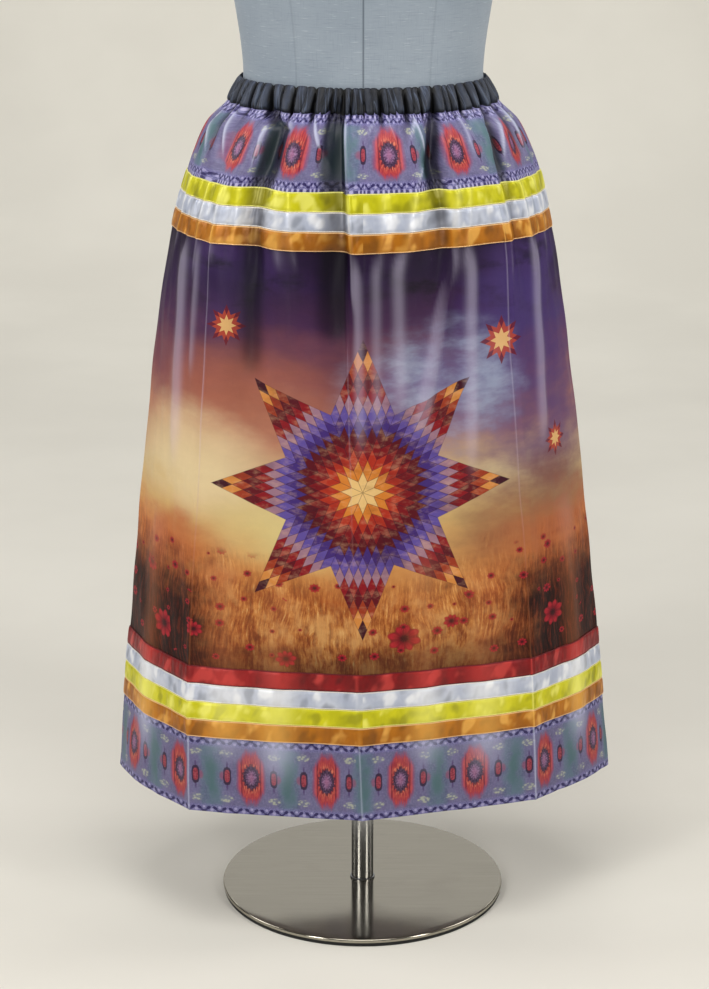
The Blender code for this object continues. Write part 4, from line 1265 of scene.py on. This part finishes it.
def build_waistband():
    """The gathered casing: up the puffed outside, over the elastic and down the inside."""
    at = columns_between(0.0, 1.0, FINE_COLUMNS)[:-1]
    tall = WAIST_TOP - CASING_BOTTOM
    rows, marks, shades = [], [], []
    for share, puffs, cuts, out, folds in CASING_SECTION:
        level = np.array([CASING_BOTTOM + min(share, 1.0) * tall])
        plan, normal = plan_rings(at, level)[0], plan_normals(at, level)[0]
        lean = 0.003 * np.sin(2 * np.pi * 7 * at + 0.5) + 0.0016 * np.sin(2 * np.pi * 29 * at)
        puff, cut = gathers(at + lean * (share - 0.5), 1.15 - 0.3 * share)
        plan = plan + normal * (fold_relief(at, level)[0] * folds + puff * puffs - cut * cuts + out)[:, None]
        gap = CASING_GAPS[0] if out > -0.0024 or len(rows) < 4 else CASING_GAPS[1]
        plan = off_the_form(plan[None], level, gap if len(rows) else 0.0026)[0]
        scallop = np.clip(puff * 0.3 - cut * 0.35, -0.002, 0.0013) * smooth_step((share - 0.7) * 3.5)
        notch = -0.45 * gathers(at + lean * -0.5, 1.2)[1] * smooth_step((0.25 - share) * 4)
        rows.append(np.column_stack([plan, level + (share - min(share, 1.0)) * tall + scallop + notch]))
        marks.append(0.0 if len(rows) < 2 else marks[-1] + float(np.abs(rows[-1] - rows[-2]).mean(axis=0).sum()))
        # Painted shade in the grooves and toward the casing's lower edges, and a painted highlight on the tops of the
        # puffs.
        dark = smooth_step(cut / 0.0024) + 0.55 * smooth_step((0.16 - share) / 0.22)
        shades.append(np.where(dark > 0.08, -np.minimum(dark, 1), smooth_step((puff - 0.003) / 0.002)))
    rows = np.array(rows)[::-1]
    uv = with_last_column(grid(at * CASING_RUN, np.array(marks)[::-1]), CASING_RUN)
    piece = loft("cloth_waistband", rows, uv, True, [CASING], smooth_angle=2.0, shade=np.array(shades)[::-1])
    return ride(piece, "black_satin", "waistband")


def build_sheets():
    """The printed cloth, each a front and a back: the gathered upper band, the picture panel and the hem band."""
    made = {}

    def add(kind, slot, *sheet, **hem):
        piece = open_sheet(f"cloth_{kind}_{side}", *sheet, **hem)
        made[piece.name] = ride(piece, slot, f"{kind}_{side}")

    for side in SIDES:
        fine = columns_between(*side_stretch(side), FINE_COLUMNS, DENSE)
        heights = levels_between(CASING_BOTTOM + CASING_LAP, UPPER_SEAM - 0.0015, BAND_STEP)
        x = motif_numbers(fine, upper_anchors(), len(UPPER_MOTIFS) + UPPER_SPARE) * MOTIF_PITCH
        uv = grid(x, np.interp(heights, UPPER_LEVELS, UPPER_PRINT))
        add("upper_band", "border_print", fine, heights, uv, [BORDER_GATHERED, BORDER_BACK])

        at = columns_between(*side_stretch(side), COLUMNS, DENSE)
        heights = levels_between(LOWER_SEAM - SEAM_GAP, HEM, HEM_STEP)
        heights = np.concatenate([heights[:-2], HEM + np.array(HEM_ROWS)])
        heights = np.sort(np.unique(np.round(heights, 5)))[::-1]
        anchors = [(place, number) for number, place in enumerate(HEM_MOTIFS)]
        x = motif_numbers(at, anchors, len(HEM_MOTIFS) + HEM_SPARE) * MOTIF_PITCH
        uv = grid(x, heights - HEM_MIDDLE)
        add("hem_band", "border_print", at, heights, uv, [BORDER, BORDER_BACK], hem_extra=0.0007)

    for side in SIDES:
        at = columns_between(*side_stretch(side), COLUMNS, DENSE)
        heights = levels_between(UPPER_SEAM - 0.0018, LOWER_SEAM, PANEL_STEP)
        uv = grid(arc_lengths(at - (0.5 if side == "back" else 0.0), heights), heights)
        add("panel", "picture_print", at, heights, uv, [PICTURE, PICTURE_BACK])
    return made


# Across a ribbon, in shares of its width: how far out its face stands, in metres. It dips at the stitching.
RIBBON_SECTION = (
    (0.0, 0.0009),
    (0.022, 0.0013),
    (0.055, 0.0009),
    (0.095, 0.0014),
    (0.22, 0.0016),
    (0.36, 0.0016),
    (0.5, 0.0016),
    (0.64, 0.0016),
    (0.78, 0.0016),
    (0.905, 0.0014),
    (0.945, 0.0009),
    (0.978, 0.0013),
    (1.0, 0.0007),
)


def ribbon_rows():
    """Every ribbon's group, colour, top edge and width."""
    for group in RIBBON_GROUPS:
        for index, colour in enumerate(group.colours):
            yield group, colour, group.top - index * group.step, group.step - SEAM_GAP


def build_ribbons():
    made = {}
    shares, out = np.array(RIBBON_SECTION).T
    for group, colour, top, wide in ribbon_rows():
        fine = FINE_COLUMNS if group.top > UPPER_SEAM - 0.01 else COLUMNS
        at = columns_between(0.0, 1.0, fine, DENSE)[:-1]
        heights = top - shares * wide
        inner = heights[[-1, 6, 0]]
        rows = np.concatenate([cloth(at, heights, out[:, None]), cloth(at, inner, RIBBON_IN)])
        levels = np.concatenate([heights, inner])
        turn = girth(top)
        uv = with_last_column(grid(at * turn, top - levels), turn)
        name = f"cloth_{group.name}_{colour}"
        # the painted fold shade and highlight of the cloth beneath, carried on through the ribbon
        shade = fold_shade(at, levels)
        made[name] = loft(name, rows, uv, True, [RIBBONS[colour]], smooth_angle=1.2, shade=shade)
        ride(made[name], f"{colour}_ribbon", f"{group.name}_{colour}")
    return made


STITCH_PITCH = 0.0026
STITCH_LENGTH = 0.0019
STITCH_HALF = 0.00022


def stitch_line(height, out, turn):
    """Points and faces of one line of stitches round the skirt."""
    count = round(turn / STITCH_PITCH)
    middle = (np.arange(count) + 0.5) / count
    half = STITCH_LENGTH / 2 / turn
    level = np.array([height])
    start, end = cloth(middle - half, level, out - 0.0002)[0], cloth(middle + half, level, out - 0.0002)[0]
    centre = cloth(middle, level, out)[0]
    normal = plan_normals(middle, level)[0]
    normal = np.column_stack([normal, np.zeros(count)]) * STITCH_HALF
    up = np.array([0, 0, STITCH_HALF])
    points = np.stack([start, centre + normal, centre + up, centre - normal, centre - up, end], axis=1)
    shape = np.array([(0, 1, 2), (0, 2, 3), (0, 3, 4), (0, 4, 1), (5, 2, 1), (5, 3, 2), (5, 4, 3), (5, 1, 4)])
    faces = (np.arange(count) * 6)[:, None, None] + shape[None]
    return points.reshape(-1, 3), faces.reshape(-1, 3)


def build_stitches():
    lines = {colour: [] for colour in THREADS}
    for _, colour, top, wide in ribbon_rows():
        for share in (0.055, 0.945):
            lines[colour].append(stitch_line(top - share * wide, 0.0009, girth(top)))
    for colour, parts in lines.items():
        starts = np.cumsum([0] + [len(spots) for spots, _ in parts])
        points = np.concatenate([spots for spots, _ in parts])
        faces = np.concatenate([shapes + start for (_, shapes), start in zip(parts, starts)])
        corners, slots = np.zeros((len(faces), 3, 2)), np.zeros(len(faces), dtype=np.int32)
        piece = add_object(f"stitches_{colour}", points.tolist(), faces.tolist(), corners, slots, [THREADS[colour]])
        ride(piece, f"{colour}_ribbon")


# ---------------------------------------------------------------- the dress form and its stand

# Seams of the cover, as angles from the front centre in degrees, and how deep and wide they sit.
FORM_SEAMS = (0.0, 33.0, -33.0, 90.0, -90.0, 148.0, -148.0, 180.0)
FORM_SEAM_DEPTH = 0.001
FORM_SEAM_WIDTH = 0.55


def build_form():
    heights = np.unique(np.concatenate([np.linspace(0.77, 1.44, 84), np.linspace(1.44, 1.55, 30)]))[::-1]
    sizes = along_rows(heights, FORM_SIZES, FORM_HEIGHTS)
    even = np.arange(-180, 180, 2.0)
    extra = [seam + step for seam in FORM_SEAMS for step in (-1.4, -0.7, -0.35, 0.35, 0.7, 1.4)]
    angles = np.unique(np.round(np.mod(np.concatenate([even, extra]) + 180, 360) - 180, 3))
    turn = np.radians(angles)[None, :]
    reach = np.where(np.cos(turn) > 0, sizes[:, 1:2], sizes[:, 2:3])
    x, y = sizes[:, :1] * np.sin(turn), -reach * np.cos(turn)
    off = np.mod(angles - np.array(FORM_SEAMS)[:, None] + 180, 360) - 180
    sunk = FORM_SEAM_DEPTH * np.exp(-np.abs(off / FORM_SEAM_WIDTH)).sum(axis=0)
    radius = np.hypot(x, y)
    shrink = 1 - sunk[None, :] / radius
    high = np.broadcast_to(heights[:, None], x.shape)
    rows = np.dstack([x * shrink, y * shrink, high])
    steps = np.hypot(np.diff(x, axis=1), np.diff(y, axis=1))
    run = np.concatenate([np.zeros((len(heights), 1)), np.cumsum(steps, axis=1)], axis=1)
    run -= run[:, [int(np.searchsorted(angles, 0.0))]]
    uv = np.dstack([run, high])
    around = run[:, -1] - run[:, 0] + 0.01
    dark = np.where(np.isin(FORM_SEAMS, (0.0, 180.0)), 0.85, 0.45)[:, None]
    seams = np.broadcast_to((dark * np.exp(-((off / 0.3) ** 2))).sum(axis=0), x.shape)
    uv = with_last_column(uv, around)
    piece = loft("form_torso", rows, uv, True, [LINEN], around=False, smooth_angle=1.0, shade=seams)
    mesh = piece.data
    wide = rows.shape[1]
    last = (len(heights) - 1) * wide
    shape = bmesh.new()
    shape.from_mesh(mesh)
    shape.verts.ensure_lookup_table()
    shape.faces.new([shape.verts[index] for index in range(wide)])
    shape.faces.new([shape.verts[last + index] for index in reversed(range(wide))])
    shape.to_mesh(mesh)
    shape.free()
    return ride(piece, "form_cloth", "dress_form")


def turned(name, section, material, segments=160, ring=False):
    """A solid of revolution about the pole, from its section's (radius, height) points, listed from the top
    middle outwards and down. A ring's section is closed."""
    angles = np.radians(np.arange(segments) * 360 / segments)
    rows = np.array(
        [np.column_stack([r * np.sin(angles), -r * np.cos(angles), np.full(segments, h)]) for r, h in section]
    )
    uv = np.zeros((len(section), segments + 1, 2))
    return loft(name, rows, uv, True, [material], around=ring, smooth_angle=0.6)


def rounded_disc(radius, bottom, top, rounding, centre=0.00002):
    """Section of a disc with rounded edges."""
    arc = [math.radians(step) for step in (0, 15, 30, 45, 60, 75, 90)]
    upper = [(radius - rounding + rounding * math.sin(a), top - rounding + rounding * math.cos(a)) for a in arc]
    lower = [(radius - rounding + rounding * math.cos(a), bottom + rounding - rounding * math.sin(a)) for a in arc]
    top_face = [(centre, top), (radius * 0.5, top), (radius * 0.93, top)]
    return [*top_face, *upper, *lower, (radius * 0.93, bottom), (centre, bottom)]


def build_stand():
    plate_bottom = PAD_THICKNESS + SEAM_GAP
    plate_top = plate_bottom + BASE_THICKNESS
    pole_bottom, pole_top = plate_top + SEAM_GAP, FORM_HEIGHTS[0] - SEAM_GAP
    cap_bottom = FORM_HEIGHTS[-1] + SEAM_GAP
    pad = rounded_disc(PAD_RADIUS, 0.0, PAD_THICKNESS, 0.0008)
    ride(turned("stand_pad", pad, RUBBER), "black_rubber", "base_pad")
    plate = rounded_disc(BASE_RADIUS, plate_bottom, plate_top, 0.002)
    ride(turned("stand_plate", plate, STEEL), "brushed_steel", "base_plate")
    pole = rounded_disc(POLE_RADIUS, pole_bottom, pole_top, 0.0004)
    shaft = [(POLE_RADIUS, high) for high in np.linspace(pole_top - 0.01, pole_bottom + 0.01, 24)]
    ride(turned("stand_pole", pole[:10] + shaft + pole[10:], STEEL_TURNED, 96), "brushed_steel", "pole")
    # the ring's outer edge, inward from its radius and down from its top
    edge = ((0.0007, 0.0), (0.0002, 0.0003), (0.0, 0.0009), (0.0, POLE_RING_HEIGHT))
    inner, top = POLE_RADIUS + SEAM_GAP, pole_bottom + POLE_RING_HEIGHT
    ring = [(inner, top), *((POLE_RING_RADIUS - x, top - down) for x, down in edge), (inner, pole_bottom)]
    ride(turned("stand_pole_ring", ring, STEEL_TURNED, 96, ring=True), "brushed_steel", "pole_ring")
    cap = rounded_disc(NECK_CAP_RADIUS, cap_bottom, cap_bottom + NECK_CAP_HEIGHT, 0.003)
    ride(turned("stand_neck_cap", cap, STEEL, 128), "brushed_steel", "neck_cap")


# ---------------------------------------------------------------- camera, floor and light

CAMERA_PLACE = (0.0, -2.94, 1.424)
CAMERA_PITCH = math.radians(17.08)
CAMERA_YAW = math.radians(-0.198)
FOCAL_PIXELS = 2517
PICTURE_HEIGHT = 989
SENSOR = 36.0


def build_camera():
    data = bpy.data.cameras.new("camera")
    data.sensor_width = SENSOR
    data.lens = FOCAL_PIXELS / PICTURE_HEIGHT * SENSOR
    camera = bpy.data.objects.new("camera", data)
    camera.location = CAMERA_PLACE
    flat = math.cos(CAMERA_PITCH)
    forward = Vector((math.sin(CAMERA_YAW) * flat, math.cos(CAMERA_YAW) * flat, -math.sin(CAMERA_PITCH)))
    camera.rotation_mode = "QUATERNION"
    camera.rotation_quaternion = forward.to_track_quat("-Z", "Y")
    bpy.context.scene.collection.objects.link(camera)
    bpy.context.scene.camera = camera


# The paper sweep: how far it runs, how round its rise is and how high it gets. It stays low, so that the object is
# also seen over it from behind.
SWEEP_HALF = 5.0
SWEEP_RISE = 3.4
SWEEP_RADIUS = 1.6
SWEEP_TURN = math.radians(57.0)


def build_floor():
    """A pale floor that curves up far behind, just beyond the top of the picture."""
    section = [(-SWEEP_HALF, 0.0), (-1.0, 0.0), (0.0, 0.0), (1.4, 0.0), (2.6, 0.0), (SWEEP_RISE, 0.0)]
    for angle in np.linspace(0, SWEEP_TURN, 17)[1:]:
        section.append((SWEEP_RISE + SWEEP_RADIUS * math.sin(angle), SWEEP_RADIUS * (1 - math.cos(angle))))
    across = np.linspace(-SWEEP_HALF, SWEEP_HALF, 11)
    rows = np.array([[(x, y, z) for x in across] for y, z in section[::-1]])
    uv = np.zeros((len(section), len(across), 2))
    floor = loft("studio_floor", rows, uv, False, [make_ground()], around=False, smooth_angle=2.0)


Lamp = namedtuple("Lamp", "name place aim wide tall power colour")
LAMPS = (
    Lamp("key_left", (-1.95, -2.5, 2.05), (0.0, 0.0, 1.0), 0.6, 1.7, 48.0, (1.0, 0.985, 0.965)),
    Lamp("key_right", (2.35, -2.1, 2.0), (0.0, 0.0, 1.0), 0.6, 1.7, 36.0, (1.0, 0.985, 0.965)),
    Lamp("side_left", (-2.3, 0.3, 2.0), (0.0, 0.0, 1.15), 0.8, 1.4, 20.0, (1.0, 0.985, 0.965)),
    Lamp("side_right", (2.3, 0.3, 2.0), (0.0, 0.0, 1.15), 0.8, 1.4, 20.0, (1.0, 0.985, 0.965)),
    Lamp("floor", (0.0, 3.7, 3.2), (0.0, 3.9, 0.0), 5.0, 2.4, 74.0, (1.0, 0.985, 0.94)),
    Lamp("back", (0.0, 4.9, 2.0), (0.0, 0.0, 1.2), 6.0, 2.2, 22.0, (1.0, 0.99, 0.97)),
    Lamp("top", (0.0, -1.1, 3.3), (0.0, -0.4, 0.2), 1.8, 1.2, 41.0, (1.0, 0.985, 0.96)),
)
WORLD_LIGHT = (1.0, 0.975, 0.94)
WORLD_STRENGTH = 0.13


def build_lights():
    for lamp in LAMPS:
        data = bpy.data.lights.new(lamp.name, "AREA")
        data.shape = "RECTANGLE"
        data.size, data.size_y = lamp.wide, lamp.tall
        data.energy = lamp.power
        data.color = lamp.colour
        item = bpy.data.objects.new(lamp.name, data)
        item.location = lamp.place
        item.rotation_mode = "QUATERNION"
        item.rotation_quaternion = (Vector(lamp.aim) - Vector(lamp.place)).to_track_quat("-Z", "Y")
        bpy.context.scene.collection.objects.link(item)
    world = bpy.data.worlds.new("studio")
    world.use_nodes = True
    background = world.node_tree.nodes["Background"]
    background.inputs["Color"].default_value = (*WORLD_LIGHT, 1.0)
    background.inputs["Strength"].default_value = WORLD_STRENGTH
    bpy.context.scene.world = world
    bpy.context.scene.view_settings.view_transform = "Standard"


build_camera()
build_floor()
build_lights()
build_form()
build_stand()
waistband = build_waistband()
sheets = build_sheets()
ribbons = build_ribbons()
build_stitches()
